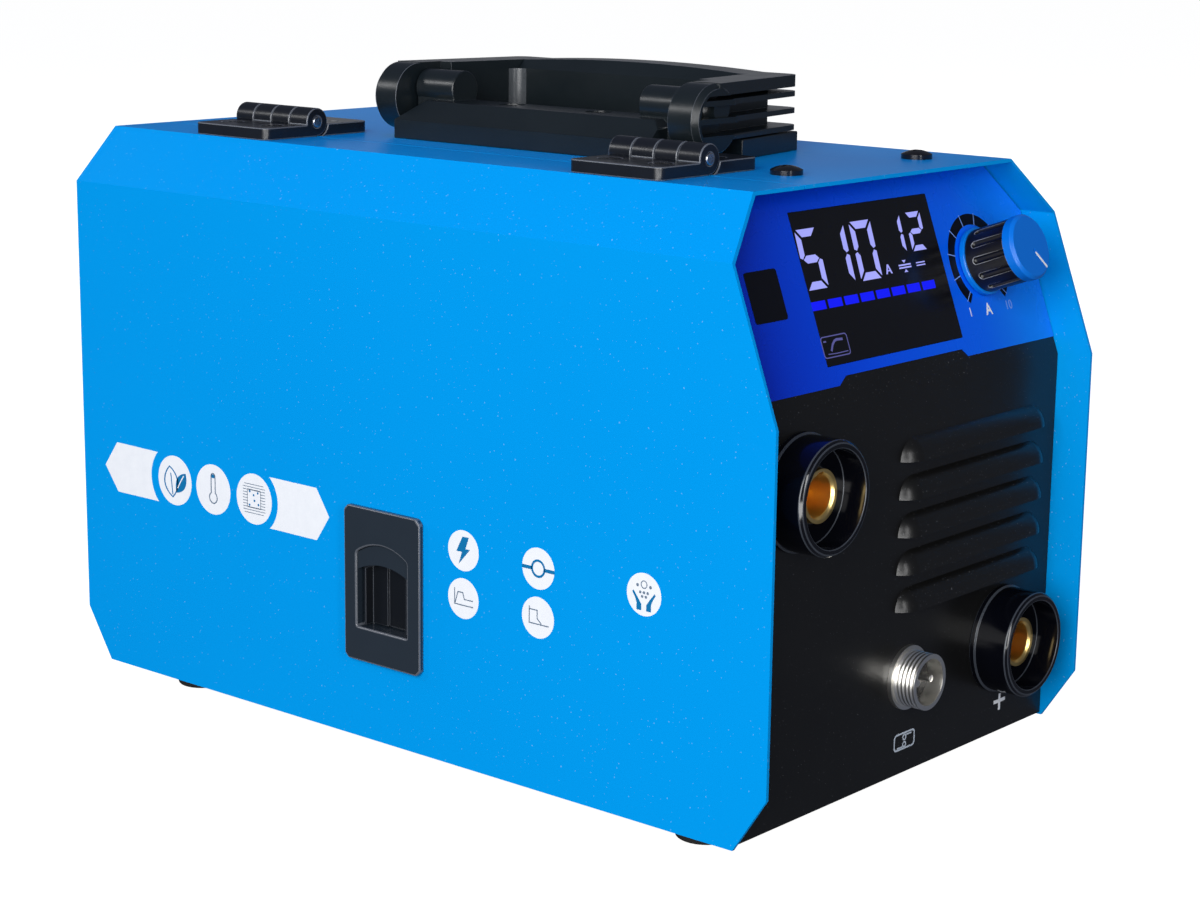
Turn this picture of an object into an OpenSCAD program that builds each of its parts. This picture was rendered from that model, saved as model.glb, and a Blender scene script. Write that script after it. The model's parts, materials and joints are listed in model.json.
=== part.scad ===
// Portable MIG welding machine in a folded steel casing. All sizes in millimetres.
// Origin: under the middle of the casing, at the soles of the feet. x right, y back, z up.

/* [Casing] */
// width over the side sheets
case_w = 183.2; // [176:0.2:200]
// length of the side sheets
case_l = 322; // [310:1:350]
// height of the side sheets
case_h = 200; // [194:0.5:220]
// thickness of the steel sheets
sheet = 1.2; // [0.8:0.1:1.6]
// sideways depth of the roof chamfers
chamfer_w = 18.8; // [14:0.2:24]
// height of the roof chamfers
chamfer_h = 19; // [14:0.5:24]
// height above the sheet bottom where the front edge starts to lean
lean_from = 133.2; // [126:0.2:140]
// set-back of the front edge at the roof
lean_back = 24.7; // [18:0.1:30]
// length of the clipped bottom corners
clip_l = 12.4; // [8:0.1:12.6]
// height of the clipped bottom corners
clip_h = 18.9; // [10:0.1:24]
// recess of the upright front sheet and of the rear sheet
end_inset = 12.8; // [12.6:0.1:16]
// recess of the leaning front sheet
lean_inset = 12.5; // [11.5:0.1:14]
// side clearance of the end sheets
panel_gap = 0.3; // [0.1:0.1:0.8]
// distance of the roof seam between door and cover from the left side
seam_side = 44.6; // [40:0.2:47]
// width of the roof seam
seam_gap = 0.6; // [0.4:0.1:1.2]
// depth of the folded flanges
flange = 14; // [10:1:18]
// thickness of the floor sheet
floor_t = 1.5; // [1:0.1:2]
// height of the floor above the bottom edges of the side sheets
floor_lift = 1; // [0.5:0.1:3]
// height of the rims along the floor
rim_h = 17; // [14:0.5:20]
// width of the wire bay between the left side and the divider
bay_w = 55.6; // [53:0.2:58]

/* [Feet] */
// clear height under the side sheets
foot_h = 8; // [6:0.5:14]
// sole radius of a foot
foot_r = 9.5; // [7:0.5:12]
// distance of the feet from the casing ends
foot_back = 40; // [30:1:60]
// distance of the feet from the casing sides
foot_side = 22; // [18:1:30]

/* [Louvres] */
// left end of the louvres
louvre_left = -6; // [-12:0.5:0]
// distance of the louvres from the right side
louvre_side = 10.6; // [8:0.1:20]
// height of the lowest louvre edge above the floor
louvre_low = 55.4; // [50:0.2:60]
// distance between louvres
louvre_pitch = 12.6; // [10:0.1:13]
// number of louvres
louvres = 5; // [3:1:5]
// how far a louvre stands out
louvre_out = 4.5; // [3:0.1:6]
// height of a louvre opening
louvre_h = 7.5; // [6:0.1:9]

/* [Display and knob] */
// distance between the display window and the knob skirt
disp_gap = 8.8; // [3:0.1:20]
// height of the display window
disp_h = 49.5; // [40:0.5:52]
// distance of the display window from the left side
disp_side = 49.1; // [46:0.1:51]
// lower edge of the display window above the lean line
disp_s = 15.8; // [14:0.1:18]
// thickness of the display window
disp_t = 2.5; // [2:0.1:4]
// thickness of the front film
film_t = 0.3; // [0.2:0.05:0.6]
// lower edge of the film above the lean line
film_s = 9.3; // [7:0.1:12]
// distance of the knob axis from the right side
knob_side = 36.3; // [32:0.1:39]
// height of the knob above the lean line
knob_s = 39.5; // [36:0.1:44]
// radius of the knob skirt
skirt_r = 12; // [11.4:0.1:14]
// radius of the knob barrel
knob_r = 10.8; // [9:0.1:11]
// radius of the knob cap
cap_r = 11.2; // [10:0.1:11.3]
// height of the knob barrel
knob_h = 18; // [12:0.5:22]
// thickness of the knob cap
cap_t = 4; // [2.5:0.1:6]
// radius of the control shaft
shaft_r = 3; // [2.5:0.1:3.5]

/* [Sockets] */
// distance of the torch socket axis from the left side
torch_side = 29.6; // [27.6:0.1:31.6]
// height of the torch socket above the casing bottom
torch_z = 108; // [104:0.5:112]
// distance of the work socket axis from the right side
work_side = 32.1; // [28:0.1:37]
// height of the work socket above the casing bottom
work_z = 35.5; // [33:0.5:38]
// radius of a socket flange
socket_flange_r = 18.9; // [18.6:0.1:20]
// thickness of a socket flange
socket_flange_t = 2; // [1.5:0.1:3]
// radius of a socket shroud
shroud_r = 18.3; // [17:0.1:18.5]
// projection of a socket shroud
shroud_h = 14.5; // [13:0.1:17]
// radius of the pocket in a socket shroud
shroud_pocket_r = 15.6; // [14:0.1:16.2]
// radius of a brass bush
brass_r = 8.6; // [8:0.1:9.2]
// projection of a brass bush
brass_h = 8.5; // [8:0.1:10]
// radius of the plug bore in a brass bush
plug_r = 6.5; // [6:0.1:7]
// depth of the plug bore
plug_depth = 20; // [16:0.5:22]
// place of the round connector to the right
conn_x = 1.9; // [0:0.1:6]
// height of the round connector above the casing bottom
conn_z = 34.4; // [32:0.1:38]
// thread radius of the round connector
conn_r = 9.5; // [8:0.1:10]
// flange radius of the round connector
conn_flange_r = 10.9; // [10.6:0.1:12]
// projection of the round connector
conn_h = 9.5; // [8:0.1:12]
// distance between the connector pins
pin_pitch = 7.7; // [6:0.1:9]

/* [Hinges] */
// height of the hinge axis above the roof
hinge_z = 5.2; // [5.1:0.05:5.6]
// radius of the hinge barrels
barrel_r = 5; // [4.6:0.05:5]
// radius of the hinge pins
hinge_pin_r = 2; // [1.5:0.1:2.5]
// length of a hinge
hinge_l = 37.8; // [34:0.2:44]
// thickness of a hinge leaf
leaf_t = 4.3; // [3.5:0.1:4.6]
// width of a door leaf
leaf_w = 25; // [22:0.5:25.5]
// distance of the front hinge middle from the front edge
hinge_front_end = 80.4; // [77:0.2:83]
// distance of the rear hinge middle from the rear edge
hinge_rear_end = 62.6; // [51:0.2:67]

/* [Latch] */
// width of the latch plate
latch_w = 36; // [32:0.5:40]
// height of the latch plate
latch_h = 54.5; // [50:0.5:60]
// projection of the latch plate and of the side screw heads
latch_t = 2.2; // [1.6:0.1:3]
// middle of the latch along the casing
latch_y = 1; // [-6:0.5:4]
// height of the latch middle above the casing bottom
latch_z = 55.3; // [52:0.1:58]
// depth of the latch body behind the door
latch_d = 12; // [11:0.5:14]
// travel of the latch slider
latch_travel = 6; // [4:0.5:7]

/* [Handle] */
// middle of the handle along the casing
handle_y = -4.4; // [-6:0.1:-3]
// half length of the handle at its hinged side
handle_near = 74.5; // [72:0.1:80]
// half length of the handle at its free side
handle_far = 64.6; // [62:0.1:68]
// distance of the free side of the handle from its axis
handle_w = 54.5; // [51:0.5:61]
// height of the handle above the roof
handle_h = 26.3; // [25.5:0.1:28]
// extra height in the middle of the grip
crown = 1.5; // [0.5:0.1:2]
// width of the grip
grip_w = 16.5; // [14:0.5:20]
// width of a hinge cheek
cheek_w = 11.9; // [10:0.1:12.5]
// radius of a hinge cheek
cheek_r = 12; // [11.4:0.1:12.2]
// distance of the handle axis from the roof seam
pivot_side = 34; // [33:0.1:34.4]
// height of the handle axis above the roof
pivot_z = 17.5; // [17.3:0.1:18]
// radius of the fixed bosses
boss_r = 6.6; // [6:0.1:6.8]
// radius of the handle pins
handle_pin_r = 3; // [2.5:0.1:3.5]
// thickness of the handle base
base_t = 6.7; // [5.5:0.1:6.8]
// depth of the grooves between the handle ribs
rib_d = 8.5; // [5:0.1:9]
// thickness of a handle rib
rib_t = 1.8; // [1.4:0.1:2.4]

/* [Wire drive] */
// distance of the drive rollers behind the front sheet
feed_back = 53.2; // [51.2:0.1:56]
// radius of the drive roller
drive_r = 12; // [11:0.1:13]
// radius of the pressure roller
press_r = 9; // [8:0.1:10]
// width of a roller
roller_w = 10; // [8:0.5:12]
// diameter of the welding wire
wire_d = 0.8; // [0.6:0.1:1]
// radius of the gear motor
motor_r = 17; // [14:0.5:18]
// length of the gear motor
motor_l = 48; // [40:1:56]

/* [Wire spool] */
// outer radius of the spool
spool_r = 50; // [45:0.5:52]
// width of the spool
spool_w = 41; // [36:0.5:42]
// distance of the spool axis from the rear sheet
spool_back = 72.2; // [66:0.1:74]
// height of the spool middle above the casing bottom
spool_z = 80; // [70:0.5:90]
// radius of the hub
hub_r = 8; // [7:0.1:8.5]

/* [Rear] */
// side of the square fan frame
fan_w = 92; // [80:1:92]
// depth of the fan frame
fan_d = 25; // [20:1:26]
// place of the fan to the right
fan_x = 34; // [28:0.5:38]
// height of the fan middle above the casing bottom
fan_z = 106; // [100:0.5:112]
// number of fan blades
blades = 7; // [5:1:9]
// projection of the cable gland and of the gas nipple
rear_out = 14.5; // [13:0.1:17]

/* [Hidden] */
$fn = 72;

blue = [0.0, 0.40, 0.85];
black = [0.06, 0.06, 0.07];
steel = [0.72, 0.73, 0.75];
zinc = [0.62, 0.64, 0.66];
green = [0.05, 0.30, 0.15];

// running clearance of a pin in its bore
run_c = 0.05;
// clearance of fixed pieces in their holes
fit_c = 0.1;
// clearance between pieces that pass each other
free_c = 0.6;

half_w = case_w / 2;
half_l = case_l / 2;
low_z = foot_h;
roof_z = low_z + case_h;
roof_in = roof_z - sheet;
floor_z = low_z + floor_lift;
floor_top = floor_z + floor_t;
fold_z = roof_z - chamfer_h;
fold_a = atan2(chamfer_w, chamfer_h);
top_half = half_w - chamfer_w;
lean = atan2(lean_back, case_h - lean_from);
lean_z = low_z + lean_from;
front_y = end_inset - half_l;
rear_y = half_l - end_inset;
door_in = sheet - half_w;
divider_x = bay_w - half_w;
torch_mid = low_z + torch_z;
work_mid = low_z + work_z;
conn_mid = low_z + conn_z;
fan_mid = low_z + fan_z;
seam_x = seam_side - half_w;
hinge_front = hinge_front_end - half_l;
hinge_rear = half_l - hinge_rear_end;
pivot_x = seam_x + pivot_side;
handle_x = pivot_x + handle_w;
torch_x = torch_side - half_w;
work_x = half_w - work_side;
knob_x = half_w - knob_side;
disp_x = disp_side - half_w;
disp_w = knob_x - skirt_r - disp_gap - disp_x;
louvre_right = half_w - louvre_side;
feed_y = front_y + feed_back;
spool_y = rear_y - spool_back;
panel_half = half_w - sheet - panel_gap;

// height at which an upright plane and a leaning plane meet, each by its own recess
function bend_z(upright, leaning) =
    lean_z - sin(lean) * leaning + (upright - cos(lean) * leaning) / tan(lean);

// place along the casing of the leaning plane with a recess, at a height
function lean_y(z, leaning) =
    cos(lean) * leaning - half_l + (z - lean_z + sin(lean) * leaning) * tan(lean);

// foot of the scale that runs up the leaning front sheet
lean_foot_y = cos(lean) * lean_inset - half_l;
lean_foot_z = lean_z - sin(lean) * lean_inset;

module on_lean(x, s, h) {
    translate([x, lean_foot_y + s * sin(lean) - h * cos(lean),
        lean_foot_z + s * cos(lean) + h * sin(lean)])
        rotate([90 - lean, 0, 0])
            children();
}

module on_front(x, z, h) {
    translate([x, front_y - h, z])
        rotate([90, 0, 0])
            children();
}

module on_rear(x, z, h) {
    translate([x, rear_y + h, z])
        rotate([-90, 0, 0])
            children();
}

// the outline is drawn in y and z, and stands across the casing
module along_x(w) {
    rotate([90, 0, 90])
        translate([0, 0, -w / 2])
            linear_extrude(w)
                children();
}

// the outline is drawn in x and z, and runs along the casing
module along_y(l) {
    rotate([90, 0, 0])
        translate([0, 0, -l / 2])
            linear_extrude(l)
                children();
}

// rod along x from its left end
module rod_x(r, w) {
    rotate([0, 90, 0])
        cylinder(r = r, h = w);
}

// rod along y from its front end
module rod_y(r, l) {
    rotate([-90, 0, 0])
        cylinder(r = r, h = l);
}

module casing_outline(d, low) {
    polygon([[d - half_w, low],
        [d - half_w, fold_z - d * tan(fold_a / 2)],
        [d * tan(45 - fold_a / 2) - top_half, roof_z - d],
        [top_half - d * tan(45 - fold_a / 2), roof_z - d],
        [half_w - d, fold_z - d * tan(fold_a / 2)],
        [half_w - d, low]]);
}

module side_outline() {
    polygon([[clip_l - half_l, low_z],
        [-half_l, low_z + clip_h],
        [-half_l, lean_z],
        [lean_back - half_l, roof_z],
        [half_l, roof_z],
        [half_l, low_z + clip_h],
        [half_l - clip_l, low_z]]);
}

module casing_sheets() {
    intersection() {
        along_y(case_l + 2)
            difference() {
                casing_outline(0, low_z);
                casing_outline(sheet, low_z - 1);
            }
        along_x(case_w + 2)
            side_outline();
    }
}

// ---------- fasteners ----------
roof_screw_r = 3;
roof_head_r = 5.3;
roof_head_h = 3;
roof_screw_l = 9;
roof_screw_back = 22.5;
roof_screw_y = lean_back - half_l + roof_screw_back;
roof_screw_x = [seam_x + 21.4, half_w - 42.9];
leaf_screw_r = 2;
leaf_head_r = 3.8;
leaf_head_h = 2;
leaf_screw_l = 9;
leaf_screw_y = 10.5;
leaf_screw_x = 14;
side_screw_r = 2;
side_head_r = 4;
side_screw_l = 8;
side_screw_z = low_z + 10;
side_screw_end = 51;
side_screw_y = [side_screw_end - half_l, 0, half_l - side_screw_end];

module roof_screw_places() {
    for (x = roof_screw_x)
        translate([x, roof_screw_y, roof_z])
            children();
}

module side_screw_places() {
    for (y = side_screw_y)
        translate([half_w, y, side_screw_z])
            rotate([0, 90, 0])
                children();
}

// screw with a flat countersunk head, flush at z = 0
module sunk_screw(c, l) {
    translate([0, 0, -leaf_head_h - c])
        cylinder(r1 = leaf_screw_r + c, r2 = leaf_head_r + c, h = leaf_head_h + c);
    translate([0, 0, -l])
        cylinder(r = leaf_screw_r + c, h = l - leaf_head_h / 2);
}

module drive_cross(r, depth) {
    for (a = [0, 90])
        rotate([0, 0, a])
            translate([-r, -r / 5, -depth])
                cube([2 * r, r / 2.5, depth + 1]);
}

module roof_screws() {
    color(black)
        roof_screw_places()
            difference() {
                union() {
                    intersection() {
                        cylinder(r = roof_head_r, h = roof_head_h);
                        translate([0, 0, roof_head_h - 2 * roof_head_r])
                            sphere(r = 2 * roof_head_r);
                    }
                    translate([0, 0, -roof_screw_l])
                        cylinder(r = roof_screw_r, h = roof_screw_l + 1);
                }
                translate([0, 0, roof_head_h])
                    drive_cross(2.6, 1.8);
            }
}

module side_screws() {
    color(black)
        side_screw_places()
            difference() {
                union() {
                    cylinder(r1 = side_head_r, r2 = side_head_r - 0.8, h = latch_t);
                    translate([0, 0, -side_screw_l])
                        cylinder(r = side_screw_r, h = side_screw_l + 1);
                }
                translate([0, 0, latch_t])
                    drive_cross(2.2, 1.3);
            }
}

// ---------- casing ----------
vent_step = 12;
vent_back = 90;
vent_l = 46;

module base_plate() {
    color(zinc)
        difference() {
            union() {
                translate([door_in + free_c, front_y + sheet, floor_z])
                    cube([case_w - 2 * sheet - free_c, case_l - 2 * end_inset - 2 * sheet, floor_t]);
                translate([door_in + free_c, front_y + flange, floor_z])
                    cube([floor_t, case_l - 2 * end_inset - 2 * flange, rim_h]);
                translate([half_w - sheet - floor_t, front_y + flange, floor_z])
                    cube([floor_t, case_l - 2 * end_inset - 2 * flange, rim_h]);
            }
            for (i = [0:5])
                translate([fan_x + (i - 2) * vent_step, rear_y - vent_back, floor_z - 1])
                    cube([vent_step / 2, vent_l, floor_t + 2]);
            side_screw_places()
                translate([0, 0, -side_screw_l - 1])
                    cylinder(r = side_screw_r + fit_c, h = side_screw_l + 2);
        }
}

module feet() {
    color(black)
        for (x = [foot_side - half_w, half_w - foot_side])
            for (y = [foot_back - half_l, half_l - foot_back])
                translate([x, y, 0])
                    difference() {
                        cylinder(r1 = foot_r, r2 = foot_r + 2, h = floor_z);
                        translate([0, 0, -1])
                            cylinder(r = foot_r * 0.45, h = floor_z / 2);
                    }
}

module cover() {
    color(blue)
        difference() {
            intersection() {
                casing_sheets();
                translate([seam_x + seam_gap / 2, -half_l - 1, low_z - 1])
                    cube([case_w, case_l + 2, case_h + 2]);
            }
            roof_screw_places()
                translate([0, 0, -sheet - 1])
                    cylinder(r = roof_screw_r + fit_c, h = sheet + 2);
            side_screw_places()
                translate([0, 0, -sheet - 1])
                    cylinder(r = side_screw_r + fit_c, h = sheet + 2);
            cover_leaf_places()
                translate([0, 0, -sheet - leaf_t - 1])
                    cylinder(r = leaf_screw_r + fit_c, h = sheet + leaf_t);
            handle_screw_places()
                translate([0, 0, -base_t - 12])
                    cylinder(r = handle_screw_r + fit_c, h = base_t + 20);
        }
}

module door() {
    color(blue)
        difference() {
            intersection() {
                casing_sheets();
                translate([-half_w - 1, -half_l - 1, low_z - 1])
                    cube([half_w + 1 + seam_x - seam_gap / 2, case_l + 2, case_h + 2]);
            }
            door_leaf_places()
                translate([0, 0, -sheet - leaf_t - 1])
                    cylinder(r = leaf_screw_r + fit_c, h = sheet + leaf_t);
            translate([-half_w - 1, latch_y - latch_in_w / 2 - fit_c, latch_mid - latch_in_h / 2 - fit_c])
                cube([sheet + 2, latch_in_w + 2 * fit_c, latch_in_h + 2 * fit_c]);
        }
}

module front_profile() {
    polygon([[front_y, floor_z],
        [front_y, bend_z(end_inset, lean_inset)],
        [lean_y(roof_in, lean_inset), roof_in],
        [lean_y(roof_in, lean_inset) + flange + 8, roof_in],
        [lean_y(roof_in, lean_inset) + flange + 8, roof_in - sheet],
        [lean_y(roof_in - sheet, lean_inset + sheet), roof_in - sheet],
        [front_y + sheet, bend_z(end_inset + sheet, lean_inset + sheet)],
        [front_y + sheet, floor_top + sheet],
        [front_y + flange, floor_top + sheet],
        [front_y + flange, floor_top],
        [front_y + sheet, floor_top],
        [front_y + sheet, floor_z]]);
}

// a louvre is a pressed hood, closed at the top and round at both ends
hood_r = (louvre_h * louvre_h / louvre_out + louvre_out) / 2;
hood_in = hood_r - louvre_out;

module hood_form(r) {
    translate([louvre_left + louvre_h, front_y + hood_in, 0]) {
        rod_x(r, louvre_right - louvre_left - 2 * louvre_h);
        sphere(r = r);
    }
    translate([louvre_right - louvre_h, front_y + hood_in, 0])
        sphere(r = r);
}

module louvre_places() {
    for (i = [0:louvres - 1])
        translate([0, 0, floor_top + louvre_low + i * louvre_pitch])
            children();
}

module window_cut() {
    on_lean(disp_x - fit_c, disp_s - fit_c, -4)
        cube([disp_w + 2 * fit_c, disp_h + 2 * fit_c, 8]);
}

module front_panel() {
    color(black) {
        difference() {
            union() {
                intersection() {
                    along_x(case_w)
                        front_profile();
                    along_y(case_l)
                        casing_outline(sheet + panel_gap, low_z);
                }
                for (x = [-panel_half, panel_half - sheet])
                    translate([x, front_y + sheet / 2, floor_top + sheet / 2])
                        cube([sheet, flange - 4, bend_z(end_inset, lean_inset) - floor_top - 6]);
                louvre_places()
                    intersection() {
                        hood_form(hood_r);
                        translate([louvre_left - 1, front_y - louvre_out - 1, 0])
                            cube([louvre_right - louvre_left + 2, louvre_out + 1 + sheet / 2,
                                louvre_h + 1]);
                    }
            }
            louvre_places()
                intersection() {
                    hood_form(hood_r - sheet);
                    translate([louvre_left - 1, front_y - louvre_out - 1, -0.01])
                        cube([louvre_right - louvre_left + 2, louvre_out + 3 + sheet, louvre_h + 1]);
                }
            window_cut();
            on_lean(knob_x, knob_s, -4)
                cylinder(r = bush_r + fit_c, h = 8);
            for (hole = [[torch_x, torch_mid, neck_r], [work_x, work_mid, neck_r],
                [conn_x, conn_mid, conn_r]])
                on_front(hole[0], hole[1], -4)
                    cylinder(r = hole[2] + fit_c, h = 8);
            roof_screw_places()
                translate([0, 0, -sheet - 4])
                    cylinder(r = roof_screw_r + fit_c, h = sheet + 5);
        }
    }
}

film_step = 2.7;

module panel_film() {
    color([0.02, 0.22, 0.75])
        difference() {
            intersection() {
                on_lean(0, 0, 0)
                    linear_extrude(film_t)
                        polygon([[-half_w, film_s], [disp_x + 3.6, film_s],
                            [disp_x + 8.1, film_s + film_step],
                            [disp_x + disp_w - 2, film_s + film_step],
                            [disp_x + disp_w + 0.9, film_s], [half_w, film_s],
                            [half_w, case_h / 2], [-half_w, case_h / 2]]);
                along_y(case_l)
                    casing_outline(sheet + panel_gap + fit_c, low_z);
            }
            window_cut();
            on_lean(knob_x, knob_s, -4)
                cylinder(r = bush_r + 3.5, h = 8);
        }
}

module rear_profile() {
    polygon([[rear_y, floor_z],
        [rear_y, roof_in],
        [rear_y - flange, roof_in],
        [rear_y - flange, roof_in - sheet],
        [rear_y - sheet, roof_in - sheet],
        [rear_y - sheet, floor_top + sheet],
        [rear_y - flange, floor_top + sheet],
        [rear_y - flange, floor_top],
        [rear_y - sheet, floor_top],
        [rear_y - sheet, floor_z]]);
}

vent_pitch = 8;
fan_bore_r = fan_w / 2 - 3;

module rear_panel() {
    color(blue)
        difference() {
            intersection() {
                along_x(case_w)
                    rear_profile();
                along_y(case_l)
                    casing_outline(sheet + panel_gap, low_z);
            }
            on_rear(fan_x, fan_mid, -4)
                linear_extrude(8)
                    intersection() {
                        circle(r = fan_bore_r - 1);
                        for (i = [-5:5])
                            for (m = [0, 1])
                                mirror([m, 0])
                                    translate([2, i * vent_pitch - 2.5])
                                        square([fan_w, 5]);
                    }
            on_rear(switch_x, switch_z, 0)
                translate([-switch_w / 2 - fit_c, -switch_h / 2 - fit_c, -4])
                    cube([switch_w + 2 * fit_c, switch_h + 2 * fit_c, 8]);
            on_rear(gland_x, gland_z, -4)
                cylinder(r = gland_thread_r + fit_c, h = 8);
            on_rear(torch_x, gas_z, -4)
                cylinder(r = gas_thread_r + fit_c, h = 8);
        }
}

module divider_panel() {
    color(zinc)
        difference() {
            union() {
                translate([divider_x + sheet / 2, 0, 0])
                    along_x(sheet)
                        polygon([[front_y + flange, floor_top],
                            [front_y + flange, lean_foot_z - 14],
                            [lean_y(lean_foot_z, lean_inset + 28), lean_foot_z],
                            [lean_y(roof_in, lean_inset + 32), roof_in],
                            [rear_y - flange - free_c, roof_in],
                            [rear_y - flange - free_c, floor_top]]);
                translate([divider_x, front_y + flange, floor_top])
                    cube([flange, rear_y - front_y - 2 * flange - free_c, sheet]);
                translate([divider_x, lean_y(roof_in, lean_inset + 32), roof_in - sheet])
                    cube([flange, rear_y - flange - free_c - lean_y(roof_in, lean_inset + 32), sheet]);
            }
            translate([divider_x - 1, feed_y, drive_z])
                rod_x(drive_shaft_r + 3, sheet + 2);
            handle_screw_places()
                translate([0, 0, -base_t - 12])
                    cylinder(r = handle_screw_r + 1, h = base_t + 20);
            cover_leaf_places()
                translate([0, 0, -leaf_screw_l - 1])
                    cylinder(r = leaf_screw_r + 1, h = leaf_screw_l);
        }
}

// ---------- door hinges ----------
barrel_gap = 0.3;
barrel_l = (hinge_l - 3 * barrel_gap) / 4;
leaf_relief = 0.6;
cover_leaf_w = 25.7;
leaf_corner = 3;

module hinge_places() {
    for (y = [hinge_front, hinge_rear])
        translate([seam_x, y, roof_z])
            children();
}

module door_leaf_places() {
    hinge_places()
        for (s = [-1, 1])
            translate([-leaf_screw_x, s * leaf_screw_y, leaf_t])
                children();
}

module cover_leaf_places() {
    hinge_places()
        for (s = [-1, 1])
            translate([leaf_screw_x - 1, s * leaf_screw_y, leaf_t])
                children();
}

module barrel(i, r) {
    translate([0, i * (barrel_l + barrel_gap) - hinge_l / 2, hinge_z])
        rod_y(r, barrel_l);
}

// door = 1 draws the leaf on the door, with barrels 0 and 2, and 0 the leaf on the cover
module leaf(door, w) {
    difference() {
        union() {
            mirror([door, 0, 0])
                translate([seam_gap / 2, -hinge_l / 2, 0])
                    difference() {
                        cube([w - seam_gap / 2, hinge_l, leaf_t]);
                        for (y = [0, hinge_l])
                            translate([w - seam_gap / 2, y, 0])
                                difference() {
                                    cube([2 * leaf_corner, 2 * leaf_corner, 3 * leaf_t], center = true);
                                    translate([-leaf_corner, y > 0 ? -leaf_corner : leaf_corner,
                                        -2 * leaf_t])
                                        cylinder(r = leaf_corner, h = 4 * leaf_t);
                                }
                    }
            for (i = [1 - door, 3 - door])
                intersection() {
                    barrel(i, barrel_r);
                    translate([-hinge_l, -hinge_l, 0])
                        cube([2 * hinge_l, 2 * hinge_l, 3 * barrel_r]);
                }
            for (i = [1 - door, 3 - door])
                mirror([door, 0, 0])
                    translate([0.1, i * (barrel_l + barrel_gap) - hinge_l / 2, 0])
                        cube([barrel_r, barrel_l, leaf_t]);
        }
        for (i = [door, 2 + door])
            translate([0, i * (barrel_l + barrel_gap) - hinge_l / 2 - barrel_gap, hinge_z])
                rod_y(barrel_r + leaf_relief, barrel_l + 2 * barrel_gap);
        translate([0, -hinge_l, hinge_z])
            rod_y(hinge_pin_r + run_c, 2 * hinge_l);
    }
}

module leaf_on_roof(y, door, w) {
    difference() {
        translate([seam_x, y, roof_z])
            leaf(door, w);
        door_leaf_places()
            sunk_screw(fit_c, leaf_t + 3);
        cover_leaf_places()
            sunk_screw(fit_c, leaf_t + 3);
    }
}

module front_door_leaf() {
    color(black)
        leaf_on_roof(hinge_front, 1, leaf_w);
}

module rear_door_leaf() {
    color(black)
        leaf_on_roof(hinge_rear, 1, leaf_w);
}

// a leaf on the cover leaves room for the turning cheek of the handle
module cover_leaf(y) {
    color(black)
        difference() {
            leaf_on_roof(y, 0, cover_leaf_w);
            on_handle()
                both_arms()
                    translate([pivot_x, -handle_near - 1, pivot_z])
                        rod_y(cheek_sweep + free_c, cheek_w + 2);
        }
}

module front_cover_leaf() {
    cover_leaf(hinge_front);
}

module rear_cover_leaf() {
    cover_leaf(hinge_rear);
}

module hinge_pins() {
    color(steel)
        hinge_places()
            translate([0, -hinge_l / 2 - 0.4, hinge_z])
                rod_y(hinge_pin_r, hinge_l + 0.8);
}

module leaf_screw() {
    difference() {
        sunk_screw(0, leaf_screw_l);
        drive_cross(2, 1.2);
    }
}

module door_leaf_screws() {
    color(black)
        door_leaf_places()
            leaf_screw();
}

module cover_leaf_screws() {
    color(black)
        cover_leaf_places()
            leaf_screw();
}

// ---------- door latch ----------
latch_mid = low_z + latch_z;
latch_in_w = latch_w - 7;
latch_in_h = latch_h - 9;
pocket_w = 24;
pocket_d = 8;
pocket_low = latch_mid - 17;
pocket_high = latch_mid + 13;
bolt_w = 10;
bolt_t = 4;
bolt_x = pocket_d + 1.6 - half_w - latch_t;
keeper_top = floor_z + rim_h + 6;

// round-topped outline, x along the door and y upwards
module arched(w, low, high) {
    translate([-w / 2, low])
        square([w, high - low - w / 4]);
    translate([0, high - w / 4])
        intersection() {
            translate([-w / 2, -1])
                square([w, w]);
            translate([0, -3 * w / 8])
                circle(r = 5 * w / 8);
        }
}

module latch_plate() {
    color(black)
        difference() {
            union() {
                translate([-half_w - latch_t, latch_y - latch_w / 2, latch_mid - latch_h / 2])
                    difference() {
                        cube([latch_t, latch_w, latch_h]);
                        for (y = [0, latch_w])
                            for (z = [0, latch_h])
                                translate([0, y, z])
                                    rotate([45, 0, 0])
                                        cube([9, 2.5, 2.5], center = true);
                    }
                translate([-half_w - 0.2, latch_y - latch_in_w / 2, latch_mid - latch_in_h / 2])
                    cube([sheet + latch_d + 0.2, latch_in_w, latch_in_h]);
            }
            // finger pocket
            translate([-half_w - latch_t - 1 + (pocket_d + 1) / 2, latch_y, 0])
                along_x(pocket_d + 1)
                    arched(pocket_w, pocket_low, pocket_high);
            // channel behind the pocket for the slider, open at the bottom
            translate([bolt_x - fit_c - 0.2, latch_y - bolt_w / 2 - 0.3, latch_mid - latch_in_h / 2 - 1])
                cube([bolt_t + 0.6, bolt_w + 0.6, latch_in_h + 1 - 3]);
            // window from the pocket to the channel
            translate([-half_w - 1, latch_y - bolt_w / 2 - 0.3, pocket_low + 3])
                cube([half_w + bolt_x + 2, bolt_w + 0.6, thumb_h + 1.5 + latch_travel]);
        }
}

thumb_h = 12;
slider_top = pocket_low + 4 + thumb_h;

module latch_slider() {
    color(black)
        union() {
            translate([bolt_x, latch_y - bolt_w / 2, keeper_top + 0.6])
                cube([bolt_t, bolt_w, slider_top - keeper_top - 0.6]);
            difference() {
                translate([-half_w + 1.5, latch_y - bolt_w / 2, pocket_low + 4])
                    cube([half_w + bolt_x - 1, bolt_w, thumb_h]);
                for (i = [0:2])
                    translate([-half_w + 1.5, latch_y, pocket_low + 6.5 + i * 3.5])
                        rotate([0, 45, 0])
                            cube([1.2, bolt_w + 2, 1.2], center = true);
            }
        }
}

spring_low = slider_top + 0.1;
spring_high = latch_mid + latch_in_h / 2 - 3.1;
spring_turns = 14;

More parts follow.
